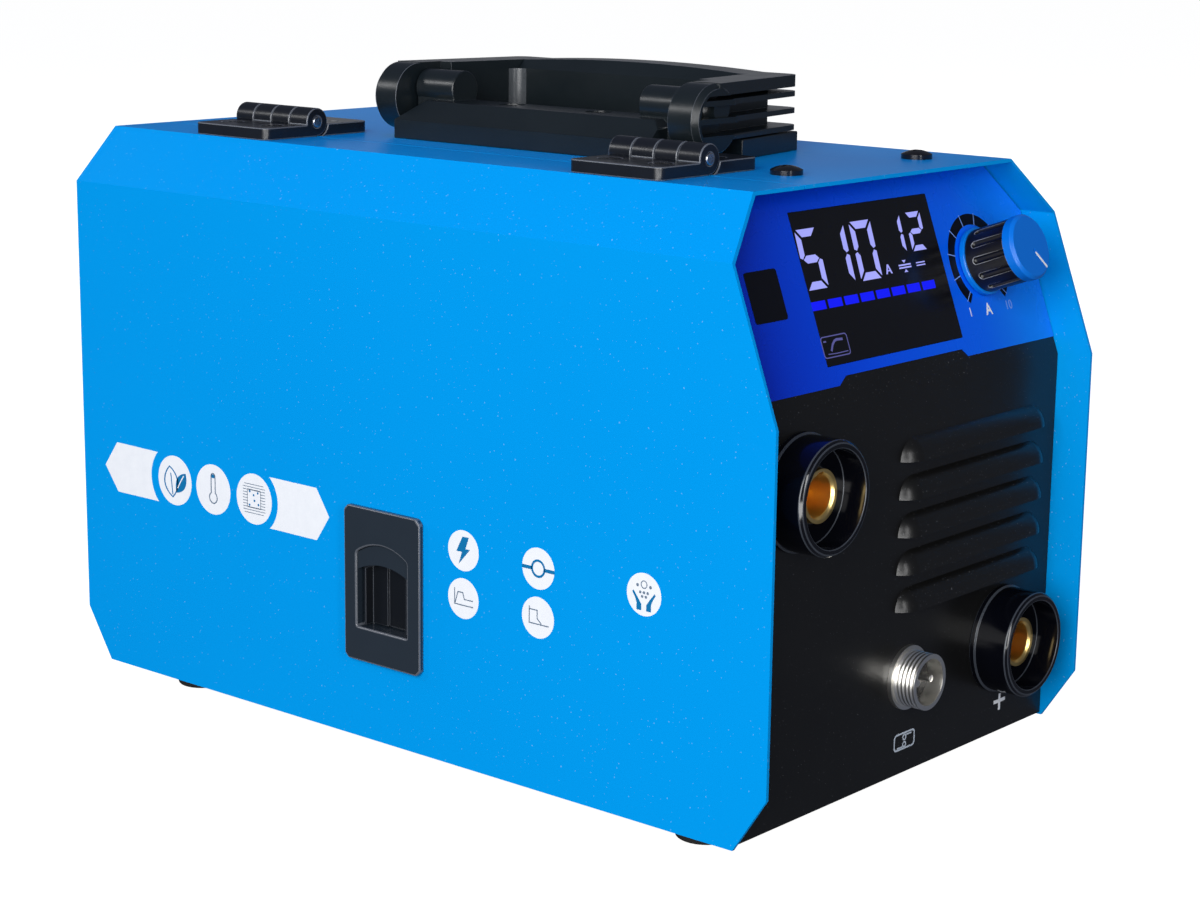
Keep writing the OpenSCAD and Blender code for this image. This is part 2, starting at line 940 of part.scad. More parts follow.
module latch_spring() {
    color(steel)
        translate([bolt_x + bolt_t / 2, latch_y, spring_low])
            rotate_extrude()
                polygon(concat([[0.6, 0]],
                    [for (i = [0:spring_turns]) [i % 2 == 0 ? 1.4 : 1.8,
                        i * (spring_high - spring_low) / spring_turns]],
                    [[0.6, spring_high - spring_low]]));
}

module latch_keeper() {
    color(steel)
        translate([door_in + free_c + floor_t, latch_y - 9, 0])
            difference() {
                union() {
                    translate([0, 0, floor_z + rim_h - 8])
                        cube([sheet, 18, keeper_top - floor_z - rim_h + 8]);
                    translate([0, 0, floor_z + rim_h - 8])
                        cube([4, 18, sheet]);
                }
                for (y = [4, 14])
                    translate([-1, y, floor_z + rim_h - 3.5])
                        rod_x(1.6, 4);
            }
}

// ---------- carrying handle ----------
cheek_x = pivot_x - 3.5;
cheek_z = handle_h - cheek_r - 0.15;
cheek_sweep = sqrt(pow(cheek_x - pivot_x, 2) + pow(pivot_z - cheek_z, 2)) + cheek_r;
cheek_in = handle_near - cheek_w;
relief_x = pivot_x + boss_r + 1.2;
arm_low = base_t + free_c;
arm_w = 15.3;
slab_t = 4.1;
ribs = 3;
rib_pitch = 5.8;
block_top = base_t + 6.8;
block_left = pivot_x - 10;
block_right = pivot_x + 6;
base_left = pivot_x - 17;
boss_near = 43;
boss_far = cheek_in - 1.5;
base_end = cheek_in - free_c;
base_step = pivot_x + sqrt(pow(cheek_sweep, 2) - pow(pivot_z - base_t, 2)) + 0.9;
grip_end = handle_out(handle_x) - arm_w;
handle_screw_r = 2.5;
handle_head_r = 4.4;
handle_head_h = 2.6;

// distance of the outer edge of an arm from the middle of the handle
function handle_out(x) =
    handle_near - (x - cheek_x) * (handle_near - handle_far) / (handle_x - cheek_x);

module on_handle() {
    translate([0, handle_y, roof_z])
        children();
}

module both_arms() {
    for (m = [0, 1])
        mirror([0, m, 0])
            children();
}

module handle_screw_places() {
    on_handle() {
        for (y = [-20, 20])
            translate([pivot_x, y, block_top])
                children();
        for (y = [-40, 40])
            translate([handle_x - grip_w / 2, y, base_t])
                children();
    }
}

module handle_base() {
    color(black)
        difference() {
            on_handle() {
                linear_extrude(base_t)
                    polygon([[base_left, -base_end],
                        [base_step, -base_end],
                        [base_step, -handle_out(base_step)],
                        [handle_x, -handle_far],
                        [handle_x, handle_far],
                        [base_step, handle_out(base_step)],
                        [base_step, base_end],
                        [base_left, base_end]]);
                intersection() {
                    along_y(2 * base_end - 1)
                        polygon([[base_left + 0.5, base_t - 1],
                            [base_left + 0.5, base_t],
                            [block_left, block_top],
                            [block_right, block_top],
                            [block_right, base_t - 1]]);
                    along_x(case_w)
                        polygon([[-base_end + 0.5, base_t - 1],
                            [-base_end + 0.5, base_t],
                            [-base_end + 9, block_top],
                            [base_end - 9, block_top],
                            [base_end - 0.5, base_t],
                            [base_end - 0.5, base_t - 1]]);
                }
                both_arms() {
                    translate([pivot_x, boss_near, pivot_z])
                        rod_y(boss_r, boss_far - boss_near);
                    translate([pivot_x - boss_r + 0.8, boss_near, base_t - 1])
                        cube([2 * boss_r - 1.6, boss_far - boss_near, pivot_z - base_t]);
                }
            }
            on_handle()
                both_arms()
                    translate([pivot_x, boss_near + 4, pivot_z])
                        rod_y(handle_pin_r + run_c, handle_near);
            // room for the cover leaf of the front hinge
            translate([seam_x, hinge_front - case_w, roof_z - 1])
                cube([cover_leaf_w + 1, case_w + hinge_l / 2 + 1, handle_h]);
            handle_screw_places() {
                translate([0, 0, -handle_head_h - 0.3])
                    cylinder(r = handle_head_r + 0.3, h = handle_head_h + 1);
                translate([0, 0, -block_top - 10])
                    cylinder(r = handle_screw_r + fit_c, h = block_top + 10);
            }
        }
}

rib_corner = 5;

module rib_plan() {
    polygon(concat([[cheek_x + 1, cheek_in],
        [cheek_x + 1, handle_out(cheek_x + 1)]],
        [for (a = [0:15:90]) [handle_x - rib_corner * (1 - sin(a)),
            handle_out(handle_x - rib_corner) - rib_corner * (1 - cos(a))]],
        [[handle_x, grip_end],
        [relief_x, handle_out(relief_x) - arm_w],
        [relief_x, cheek_in]]));
}

module core_plan() {
    polygon([[cheek_x + 2, cheek_in],
        [cheek_x + 2, handle_out(cheek_x + 2) - rib_d],
        [handle_x - rib_d, handle_out(handle_x - rib_d) - rib_d],
        [handle_x - rib_d, handle_out(handle_x - rib_d) - arm_w],
        [relief_x, handle_out(relief_x) - arm_w],
        [relief_x, cheek_in]]);
}

module carry_handle() {
    color(black)
        on_handle()
            difference() {
                union() {
                    both_arms() {
                        translate([cheek_x, cheek_in, cheek_z]) {
                            rod_y(cheek_r, cheek_w - 2);
                            translate([0, cheek_w - 2, 0])
                                rotate([-90, 0, 0])
                                    cylinder(r1 = cheek_r, r2 = cheek_r - 1.6, h = 2);
                        }
                        translate([0, 0, handle_h - slab_t])
                            linear_extrude(slab_t)
                                rib_plan();
                        translate([0, 0, arm_low])
                            linear_extrude(handle_h - slab_t - arm_low + 0.1)
                                core_plan();
                        for (i = [0:ribs - 1])
                            translate([0, 0, arm_low + i * rib_pitch])
                                linear_extrude(rib_t)
                                    rib_plan();
                    }
                    intersection() {
                        along_y(2 * grip_end + 5)
                            polygon([[handle_x - grip_w, arm_low],
                                [handle_x - grip_w, handle_h - 3.1],
                                [handle_x - grip_w + 4, handle_h + crown],
                                [handle_x, handle_h + crown],
                                [handle_x, arm_low]]);
                        along_x(case_w)
                            polygon(concat([[grip_end + 2, 0], [grip_end + 2, handle_h]],
                                [for (i = [6:-1:-6]) [i * grip_end / 6,
                                    handle_h + crown * (1 - i * i / 36)]],
                                [[-grip_end - 2, handle_h], [-grip_end - 2, 0]]));
                    }
                }
                both_arms()
                    translate([pivot_x, cheek_in - 1, pivot_z])
                        rod_y(handle_pin_r + run_c, cheek_w - 1);
            }
}

module handle_pins() {
    color(steel)
        on_handle()
            both_arms()
                translate([pivot_x, boss_near + 4.5, pivot_z])
                    rod_y(handle_pin_r, handle_near - boss_near - 7);
}

module handle_screws() {
    color(steel)
        handle_screw_places()
            difference() {
                union() {
                    translate([0, 0, -handle_head_h - 0.3])
                        cylinder(r = handle_head_r, h = handle_head_h);
                    translate([0, 0, -base_t - 6])
                        cylinder(r = handle_screw_r, h = base_t + 5);
                }
                translate([0, 0, -0.3])
                    drive_cross(2.6, 1.5);
            }
}

// ---------- display and knob ----------
bush_r = 4.5;
board_h = 16;
board_t = 1.6;
knob_low = film_t + 0.6;

module display_window() {
    color([0.02, 0.02, 0.05])
        on_lean(disp_x, disp_s, film_t + 0.1 - disp_t)
            cube([disp_w, disp_h, disp_t]);
}

module display_board() {
    color(green)
        difference() {
            union() {
                on_lean(disp_x - 2, disp_s - 4, -board_h)
                    cube([knob_x + skirt_r + 2 - disp_x, disp_h + 6, board_t]);
                on_lean(disp_x + 2, disp_s + 2, board_t / 2 - board_h)
                    cube([disp_w - 4, disp_h - 4, board_h - board_t / 2 + film_t + 0.1 - disp_t]);
                on_lean(knob_x, knob_s, board_t / 2 - board_h)
                    cylinder(r = 10, h = board_h - board_t / 2 - sheet);
                on_lean(knob_x, knob_s, -sheet - 1)
                    cylinder(r = bush_r, h = sheet + 5);
                on_lean(knob_x, knob_s, 0)
                    cylinder(r = bush_r + 2.5, h = 2.3, $fn = 6);
            }
            on_lean(knob_x, knob_s, 3 - board_h)
                cylinder(r = shaft_r + run_c, h = board_h + 6);
        }
}

module knob_body() {
    color(black)
        on_lean(knob_x, knob_s, 0)
            difference() {
                union() {
                    translate([0, 0, knob_low])
                        cylinder(r = skirt_r, h = 2);
                    difference() {
                        translate([0, 0, knob_low])
                            cylinder(r1 = knob_r + 0.3, r2 = knob_r - 0.3, h = knob_h - knob_low);
                        for (i = [0:17])
                            rotate([0, 0, i * 20])
                                translate([knob_r + 0.5, 0, knob_low + 2.5])
                                    cylinder(r = 1.2, h = knob_h);
                    }
                }
                translate([0, 0, knob_low - 1])
                    cylinder(r = bush_r + 3.2, h = 6);
                translate([0, 0, knob_low])
                    cylinder(r = shaft_r + fit_c, h = knob_h - knob_low - 2);
            }
}

module knob_cap() {
    color(blue)
        on_lean(knob_x, knob_s, knob_h)
            difference() {
                union() {
                    cylinder(r = cap_r, h = cap_t - 1);
                    translate([0, 0, cap_t - 1])
                        cylinder(r1 = cap_r, r2 = cap_r - 1, h = 1);
                }
                rotate([0, 0, -50])
                    translate([1.5, -0.5, cap_t - 0.4])
                        cube([cap_r, 1, 1]);
            }
}

module knob_shaft() {
    color(steel)
        on_lean(knob_x, knob_s, 3.5 - board_h)
            cylinder(r = shaft_r, h = board_h - 3.5 + knob_h - 2.5);
}

// ---------- sockets ----------
neck_r = 12;
neck_l = 8;
brass_tail = 14;

module socket_shroud() {
    difference() {
        union() {
            cylinder(r = socket_flange_r, h = socket_flange_t);
            cylinder(r = shroud_r, h = shroud_h - 1);
            translate([0, 0, shroud_h - 1])
                cylinder(r1 = shroud_r, r2 = shroud_r - 1, h = 1);
            translate([0, 0, -sheet - neck_l])
                cylinder(r = neck_r, h = sheet + neck_l + 1);
        }
        translate([0, 0, brass_h - 2.5])
            cylinder(r = shroud_pocket_r, h = shroud_h);
        translate([0, 0, -sheet - neck_l - 1])
            cylinder(r = brass_r + fit_c, h = neck_l + shroud_h);
    }
}

module socket_brass() {
    difference() {
        translate([0, 0, -brass_tail])
            cylinder(r = brass_r, h = brass_tail + brass_h);
        translate([0, 0, brass_h - plug_depth])
            cylinder(r = plug_r, h = plug_depth + 1);
        translate([0, 0, brass_h - 0.9])
            cylinder(r1 = plug_r, r2 = plug_r + 1, h = 1);
        translate([-1.3, 0, brass_h - 8])
            cube([2.6, plug_r + 1, 9]);
    }
}

module torch_socket_shroud() {
    color(black)
        on_front(torch_x, torch_mid, 0)
            socket_shroud();
}

module work_socket_shroud() {
    color(black)
        on_front(work_x, work_mid, 0)
            socket_shroud();
}

module torch_socket_brass() {
    color([0.80, 0.60, 0.25])
        on_front(torch_x, torch_mid, 0)
            difference() {
                socket_brass();
                translate([0, 0, -brass_tail - 1])
                    cylinder(r = 1.5, h = brass_tail);
            }
}

module work_socket_brass() {
    color([0.80, 0.60, 0.25])
        on_front(work_x, work_mid, 0) {
            socket_brass();
            translate([0, 0, -brass_tail - 16])
                cylinder(r = 5, h = 17);
        }
}

module socket_nuts() {
    color([0.30, 0.31, 0.33])
        for (place = [[torch_x, torch_mid], [work_x, work_mid]])
            on_front(place[0], place[1], -sheet - 5)
                difference() {
                    cylinder(r = neck_r + 5, h = 5, $fn = 6);
                    translate([0, 0, -1])
                        cylinder(r = neck_r + fit_c, h = 7);
                }
}

conn_bore_r = conn_r - 1.6;
conn_tail = 9;
thread_pitch = 1.5;

module connector_shell() {
    color(steel)
        on_front(conn_x, conn_mid, 0)
            difference() {
                union() {
                    cylinder(r = conn_flange_r, h = 1.6);
                    translate([0, 0, -conn_tail])
                        cylinder(r = conn_r, h = conn_tail + conn_h);
                }
                translate([0, 0, -conn_tail - 1])
                    cylinder(r = conn_bore_r, h = conn_tail + conn_h + 2);
                for (i = [0:4])
                    translate([0, 0, 2.4 + i * thread_pitch])
                        rotate_extrude()
                            polygon([[conn_r - 0.5, 0], [conn_r + 0.3, -0.6], [conn_r + 0.3, 0.6]]);
            }
}

module connector_insulator() {
    color(black)
        on_front(conn_x, conn_mid, 0)
            difference() {
                translate([0, 0, -conn_tail])
                    cylinder(r = conn_bore_r, h = conn_tail + 3.4);
                for (x = [-pin_pitch / 2, pin_pitch / 2])
                    translate([x, 0, -conn_tail - 1])
                        cylinder(r = 1.25, h = conn_tail + 6);
            }
}

module connector_pins() {
    color([0.80, 0.70, 0.40])
        on_front(conn_x, conn_mid, 0)
            for (x = [-pin_pitch / 2, pin_pitch / 2])
                translate([x, 0, -conn_tail - 3])
                    cylinder(r = 1.25, h = conn_tail + 3 + conn_h - 2);
}

module connector_nut() {
    color(steel)
        on_front(conn_x, conn_mid, -sheet - 3)
            difference() {
                cylinder(r = conn_r + 3.5, h = 3, $fn = 6);
                translate([0, 0, -1])
                    cylinder(r = conn_r + fit_c, h = 5);
            }
}

// ---------- wire drive ----------
wire_z = torch_mid;
drive_shaft_r = 4;
drive_z = wire_z - wire_d / 2 - drive_r;
press_z = wire_z + wire_d / 2 + press_r;
axle_r = 3;
plate_t = 10;
plate_x = divider_x - plate_t;
plate_half = 33;
plate_low = 20;
plate_high = 8;
ear_t = 8;
roller_x = torch_x - roller_w / 2;
arm_back = 27;
arm_reach = 29;
arm_rise = 17;
arm_y = feed_y - arm_back;
arm_z = wire_z + arm_rise;
arm_x = torch_x + roller_w / 2 + 1.5;
arm_t = plate_x - 3 - arm_x;
arm_end = feed_y + arm_reach;
arm_eye_r = 6;
arm_nose = 7;
shaft_end = 6;
tension_r = 2.5;
grip_r = 8;
grip_l = 13;

module feeder_plate() {
    color(zinc)
        difference() {
            union() {
                translate([plate_x, feed_y - plate_half, drive_z - plate_low])
                    cube([plate_t, 2 * plate_half, arm_z - drive_z + plate_low + plate_high]);
                for (y = [feed_y - plate_half, feed_y + plate_half - ear_t])
                    translate([torch_x - shaft_end, y, wire_z - ear_t])
                        cube([plate_x - torch_x + shaft_end + 1, ear_t, 2 * ear_t]);
                translate([arm_x - 2, arm_y, arm_z])
                    rod_x(axle_r, plate_x - arm_x + 3);
            }
            translate([plate_x - 1, feed_y, drive_z])
                rod_x(drive_shaft_r + 2, plate_t + 2);
            translate([torch_x, feed_y - plate_half - 1, wire_z])
                rod_y(2, 2 * plate_half + 2);
        }
}

gearbox_w = 40;
gearbox_l = 15;

module gear_motor() {
    color([0.25, 0.26, 0.28])
        translate([divider_x + sheet, feed_y, drive_z])
            difference() {
                union() {
                    translate([0, -gearbox_w / 2, -gearbox_w / 2])
                        cube([gearbox_l, gearbox_w, gearbox_w]);
                    translate([gearbox_l - 1, 0, 0])
                        rod_x(motor_r, motor_l + 1);
                    translate([gearbox_l - 1, 0, 0])
                        rod_x(motor_r * 0.3, motor_l + 4);
                }
                translate([-1, 0, 0])
                    rod_x(drive_shaft_r + run_c, 12);
            }
}

module drive_roller() {
    color(steel)
        translate([0, feed_y, drive_z])
            difference() {
                union() {
                    translate([roller_x - shaft_end, 0, 0])
                        rod_x(drive_shaft_r, divider_x + sheet + 10 - roller_x + shaft_end);
                    translate([roller_x, 0, 0])
                        rod_x(drive_r, roller_w);
                    translate([roller_x - shaft_end, 0, 0])
                        rod_x(drive_shaft_r + 3, shaft_end + 0.5);
                    translate([torch_x + roller_w / 2, 0, 0])
                        rod_x(drive_shaft_r + 2, drive_shaft_r);
                }
                translate([torch_x, 0, 0])
                    rotate([0, 90, 0])
                        rotate_extrude()
                            polygon([[drive_r - 0.5, 0], [drive_r + 0.3, -0.8], [drive_r + 0.3, 0.8]]);
            }
}

module pressure_arm() {
    color(black)
        difference() {
            union() {
                translate([arm_x + arm_t / 2, 0, 0])
                    along_x(arm_t) {
                        translate([arm_y, arm_z])
                            circle(r = arm_eye_r);
                        translate([feed_y, press_z])
                            circle(r = arm_eye_r);
                        polygon([[arm_y, arm_z + arm_eye_r],
                            [arm_end + arm_nose, arm_z + arm_nose],
                            [arm_end + arm_nose, arm_z - 1],
                            [feed_y + arm_eye_r, press_z],
                            [feed_y - arm_eye_r, press_z], [arm_y, arm_z - arm_eye_r]]);
                    }
                translate([torch_x - arm_nose - 1, arm_end - arm_nose, arm_z - 1])
                    cube([arm_x + arm_t - torch_x + arm_nose + 1, 2 * arm_nose, arm_nose + 1]);
                translate([roller_x - 1, feed_y, press_z])
                    rod_x(axle_r, arm_x - roller_x + 2);
            }
            translate([arm_x - 3, arm_y, arm_z])
                rod_x(axle_r + run_c, arm_t + 6);
            translate([torch_x, arm_end, arm_z - 4])
                cylinder(r = tension_r + run_c, h = 16);
        }
}

module pressure_roller() {
    color(steel)
        translate([roller_x, feed_y, press_z])
            difference() {
                rod_x(press_r, roller_w);
                translate([-1, 0, 0])
                    rod_x(axle_r + run_c, roller_w + 2);
            }
}

module tension_knob() {
    color([0.55, 0.08, 0.06])
        translate([torch_x, arm_end, arm_z + arm_nose]) {
            translate([0, 0, 2.5 - arm_rise])
                cylinder(r = tension_r, h = arm_rise);
            translate([0, 0, 0.4])
                cylinder(r = 2 * tension_r, h = 3);
            difference() {
                translate([0, 0, 3])
                    cylinder(r = grip_r, h = grip_l);
                for (i = [0:7])
                    rotate([0, 0, i * 45])
                        translate([grip_r + 0.6, 0, 2])
                            cylinder(r = 1.8, h = grip_l + 3);
            }
        }
}

// ---------- wire spool ----------
hub_flange_t = 3;
spool_x = divider_x - hub_flange_t - 0.5 - spool_w;
spool_mid = low_z + spool_z;
spool_flange_t = 2;
barrel_out = 26;
winding_r = spool_r - 7;
stud_r = 5;
hub_flange_r = 22;
spool_hole_r = 5;
nut_r = 15;
nut_t = 5.4;

module spool_hub() {
    color(black)
        translate([0, spool_y, spool_mid]) {
            translate([divider_x - hub_flange_t, 0, 0])
                rod_x(hub_flange_r, hub_flange_t);
            translate([spool_x - 0.5, 0, 0])
                rod_x(hub_r, divider_x - spool_x - 1);
            translate([spool_x - 5.5, 0, 0])
                rod_x(stud_r, 6);
        }
}

module wire_spool() {
    color([0.85, 0.85, 0.83])
        translate([spool_x, spool_y, spool_mid])
            difference() {
                union() {
                    rod_x(barrel_out, spool_w);
                    rod_x(spool_r, spool_flange_t);
                    translate([spool_w - spool_flange_t, 0, 0])
                        rod_x(spool_r, spool_flange_t);
                }
                translate([-1, 0, 0])
                    rod_x(hub_r + run_c, spool_w + 2);
                for (i = [0:5])
                    rotate([i * 60 + 30, 0, 0])
                        translate([-1, 0, barrel_out - 9])
                            rod_x(spool_hole_r, spool_w + 2);
            }
}

module wire_winding() {
    color([0.72, 0.45, 0.25])
        translate([spool_x + spool_flange_t, spool_y, spool_mid])
            difference() {
                rod_x(winding_r, spool_w - 2 * spool_flange_t);
                translate([-1, 0, 0])
                    rod_x(barrel_out, spool_w);
            }
}

module hub_nut() {
    color(black)
        translate([spool_x - 6, spool_y, spool_mid])
            difference() {
                union() {
                    rod_x(nut_r, nut_t);
                    for (i = [0:5])
                        rotate([i * 60, 0, 0])
                            translate([0, 0, nut_r - 2])
                                rod_x(4, nut_t);
                }
                translate([-1, 0, 0])
                    rod_x(stud_r + fit_c, 8);
            }
}

// ---------- electronics ----------
sink_w = 60;
sink_l = 115;
sink_h = 49.5;
sink_slab = 6;
sink_side = 23.6;
sink_x = half_w - sink_side - sink_w;
sink_y = -55;
sink_top = floor_top + sink_h;
fin_t = 2;
fins = 9;
fin_lift = 8;
module_w = 20;
module_l = 32;
module_h = 6;
board_gap = 18;
board_side = 7.6;
board_front = 6;
board_back = 38;
board_x = divider_x + board_gap;
board_w = half_w - board_side - board_x;
board_z = sink_top + module_h;
board_top = board_z + board_t;
parts_back = 10;
core_w = 46;
core_d = 26;
core_h = 36;
core_leg = 8;
coil_out = 6;
can_r = 12;
can_h = 42;
can_pitch = 28;

module heat_sink() {
    color(steel)
        translate([sink_x, sink_y, floor_top]) {
            translate([0, 0, sink_h - sink_slab])
                cube([sink_w, sink_l, sink_slab]);
            for (i = [0:fins - 1]) {
                lift = i % (fins - 1) == 0 ? 0 : fin_lift;
                translate([i * (sink_w - fin_t) / (fins - 1), 0, lift])
                    cube([fin_t, sink_l, sink_h - lift - 1]);
            }
        }
}

module power_board() {
    color(green) {
        translate([board_x, sink_y - board_front, board_z])
            cube([board_w, sink_l + board_front + board_back, board_t]);
        for (x = [board_front, sink_w - board_front - module_w])
            for (y = [parts_back, sink_l - 2 * board_front - module_l])
                translate([sink_x + x, sink_y + y, sink_top])
                    cube([module_w, module_l, module_h + board_t / 8]);
    }
}

module transformer() {
    color([0.14, 0.14, 0.15])
        translate([sink_x, sink_y + parts_back, board_top]) {
            difference() {
                cube([core_w, core_d, core_h]);
                translate([core_leg, -1, core_leg])
                    cube([core_w - 2 * core_leg, core_d + 2, core_h - 2 * core_leg]);
            }
            translate([core_leg, -coil_out, core_leg])
                cube([core_w - 2 * core_leg, core_d + 2 * coil_out, core_h - 2 * core_leg]);
        }
}

module capacitors() {
    color([0.10, 0.12, 0.30])
        for (i = [0:3])
            translate([sink_x + sink_w, sink_y + parts_back + i * can_pitch, board_top])
                cylinder(r = can_r, h = can_h);
}

// ---------- fan, switch and rear fittings ----------
fan_hub_r = 17;
fan_gap = 1.5;
fan_axle_r = 2.5;
switch_x = fan_x;
switch_w = 22;
switch_h = 30;
switch_z = fan_mid + fan_w / 2 + switch_h / 2 + 3;
rocker_w = 17;
rocker_lean = 8;
gland_x = fan_x;
gland_z = low_z + 24;
gland_thread_r = 8;
gland_bore_r = 4.5;
gas_z = roof_z - 42;
gas_thread_r = 6;
gas_spigot_r = 4;
gas_block = 24;
gas_bore_r = 2;

module fan_frame() {
    color(black)
        translate([fan_x, rear_y - sheet - fan_d, fan_mid])
            difference() {
                union() {
                    difference() {
                        translate([-fan_w / 2, 0, -fan_w / 2])
                            cube([fan_w, fan_d, fan_w]);
                        translate([0, -1, 0])
                            rod_y(fan_bore_r, fan_d + 2);
                    }
                    for (a = [0, 120, 240])
                        rotate([0, a, 0])
                            translate([-2.5, 0, 0])
                                cube([5, 2.5, fan_bore_r + 1]);
                    rod_y(fan_hub_r - 1, 2.5);
                    rod_y(fan_axle_r, fan_d - 6);
                }
                for (x = [-1, 1])
                    for (z = [-1, 1])
                        translate([x * (fan_w / 2 - 5), -1, z * (fan_w / 2 - 5)])
                            rod_y(2.2, fan_d + 2);
            }
}

module fan_rotor() {
    color(black)
        translate([fan_x, rear_y - sheet - fan_d + 4, fan_mid])
            difference() {
                union() {
                    rod_y(fan_hub_r, fan_d - 8);
                    intersection() {
                        for (i = [0:blades - 1])
                            rotate([0, i * 360 / blades, 0])
                                translate([0, (fan_d - 8) / 2, 12])
                                    rotate([0, 0, 38])
                                        translate([-12, -1, 0])
                                            cube([24, 2, fan_bore_r]);
                        difference() {
                            rod_y(fan_bore_r - fan_gap, fan_d - 8);
                            translate([0, -1, 0])
                                rod_y(fan_hub_r - 1, fan_d);
                        }
                    }
                }
                translate([0, -1, 0])
                    rod_y(fan_axle_r + run_c, fan_d - 8);
            }
}

module switch_housing() {
    color(black)
        translate([switch_x, rear_y, switch_z])
            difference() {
                union() {
                    translate([-switch_w / 2, -14, -switch_h / 2])
                        cube([switch_w, 15, switch_h]);
                    translate([-switch_w / 2 - 2, 0, -switch_h / 2 - 2])
                        cube([switch_w + 4, 2, switch_h + 4]);
                }
                translate([-rocker_w / 2 - 0.3, -6, -switch_h / 2 + 1.5])
                    cube([rocker_w + 0.6, 20, switch_h - 3]);
                translate([-rocker_w / 2 - 1.4, -0.5, 0])
                    rod_x(1.5 + run_c, rocker_w + 2.8);
            }
}

module switch_rocker() {
    color([0.60, 0.05, 0.05])
        translate([switch_x, rear_y - 0.5, switch_z])
            rotate([-rocker_lean, 0, 0]) {
                along_x(rocker_w)
                    polygon([[-3, -9], [5.5, -12], [4, 0], [5.5, 12], [-3, 9]]);
                translate([-rocker_w / 2 - 1.1, 0, 0])
                    rod_x(1.5, rocker_w + 2.2);
            }
}

module cable_gland() {
    color(black)
        on_rear(gland_x, gland_z, 0)
            difference() {
                union() {
                    cylinder(r = gland_thread_r + 4, h = 5, $fn = 6);
                    translate([0, 0, 4])
                        cylinder(r1 = gland_thread_r + 1, r2 = gland_thread_r - 1, h = rear_out - 4);
                    translate([0, 0, -sheet - 10])
                        cylinder(r = gland_thread_r, h = sheet + 11);
                    translate([0, 0, -sheet - 5])
                        cylinder(r = gland_thread_r + 4, h = 5, $fn = 6);
                }
                translate([0, 0, -sheet - 11])
                    cylinder(r = gland_bore_r, h = rear_out + 20);
            }
}

module gas_inlet() {
    color([0.78, 0.62, 0.30])
        on_rear(torch_x, gas_z, 0)
            difference() {
                union() {
                    cylinder(r = gas_thread_r + 3, h = 5, $fn = 6);
                    cylinder(r = gas_spigot_r, h = rear_out);
                    translate([0, 0, -sheet - 1])
                        cylinder(r = gas_thread_r, h = sheet + 2);
                    translate([-gas_block / 2, -gas_block / 2, -sheet - gas_block])
                        cube(gas_block);
                }
                translate([0, 0, -sheet - 2 * gas_block / 3])
                    cylinder(r = gas_bore_r, h = gas_block + rear_out);
            }
}

base_plate();
feet();
front_panel();
panel_film();
rear_panel();
cover();
door();
divider_panel();
front_door_leaf();
rear_door_leaf();
front_cover_leaf();
rear_cover_leaf();
hinge_pins();
door_leaf_screws();
cover_leaf_screws();
roof_screws();
side_screws();
latch_plate();
latch_slider();
latch_spring();
latch_keeper();
handle_base();
carry_handle();
handle_pins();
handle_screws();
display_window();
display_board();
knob_body();
knob_cap();
knob_shaft();
torch_socket_shroud();
torch_socket_brass();
work_socket_shroud();
work_socket_brass();
socket_nuts();
connector_shell();
connector_insulator();
connector_pins();
connector_nut();
feeder_plate();
gear_motor();
drive_roller();
pressure_arm();
pressure_roller();
tension_knob();
spool_hub();
wire_spool();
wire_winding();
hub_nut();
heat_sink();
power_board();
transformer();
capacitors();
fan_frame();
fan_rotor();
switch_housing();
switch_rocker();
cable_gland();
gas_inlet();
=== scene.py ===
import json
from math import cos, pi, radians, sin, sqrt

import bpy
from mathutils import Matrix, Vector

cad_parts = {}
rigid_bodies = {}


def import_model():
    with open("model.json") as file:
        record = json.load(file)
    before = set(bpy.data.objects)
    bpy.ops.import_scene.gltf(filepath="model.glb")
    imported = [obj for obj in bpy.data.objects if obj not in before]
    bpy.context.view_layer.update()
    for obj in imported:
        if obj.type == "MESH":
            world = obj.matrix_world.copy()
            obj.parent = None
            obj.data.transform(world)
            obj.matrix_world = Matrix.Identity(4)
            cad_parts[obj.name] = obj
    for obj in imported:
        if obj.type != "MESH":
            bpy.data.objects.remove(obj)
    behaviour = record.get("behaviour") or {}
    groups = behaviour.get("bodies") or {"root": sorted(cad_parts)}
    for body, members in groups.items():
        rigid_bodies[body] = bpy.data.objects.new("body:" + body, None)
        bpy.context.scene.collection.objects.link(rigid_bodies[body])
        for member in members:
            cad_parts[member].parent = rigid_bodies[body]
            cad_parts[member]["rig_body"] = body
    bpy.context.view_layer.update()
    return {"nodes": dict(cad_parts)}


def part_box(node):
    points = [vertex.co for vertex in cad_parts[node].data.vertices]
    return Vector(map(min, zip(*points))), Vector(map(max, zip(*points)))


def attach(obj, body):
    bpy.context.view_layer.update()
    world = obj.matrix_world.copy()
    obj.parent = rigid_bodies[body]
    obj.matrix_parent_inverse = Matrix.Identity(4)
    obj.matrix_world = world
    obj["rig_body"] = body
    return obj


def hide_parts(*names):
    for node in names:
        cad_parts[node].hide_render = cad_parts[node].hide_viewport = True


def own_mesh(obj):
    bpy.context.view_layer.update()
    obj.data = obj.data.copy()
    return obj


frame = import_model()
mm = 0.001


# ---- The view -------------------------------------------------------------------------
# The machine is seen from its front left corner, from a little above the roof, through
# a long lens.
def added(name, data):
    """a new object that is part of the scene"""
    thing = bpy.data.objects.new(name, data)
    bpy.context.scene.collection.objects.link(thing)
    return thing


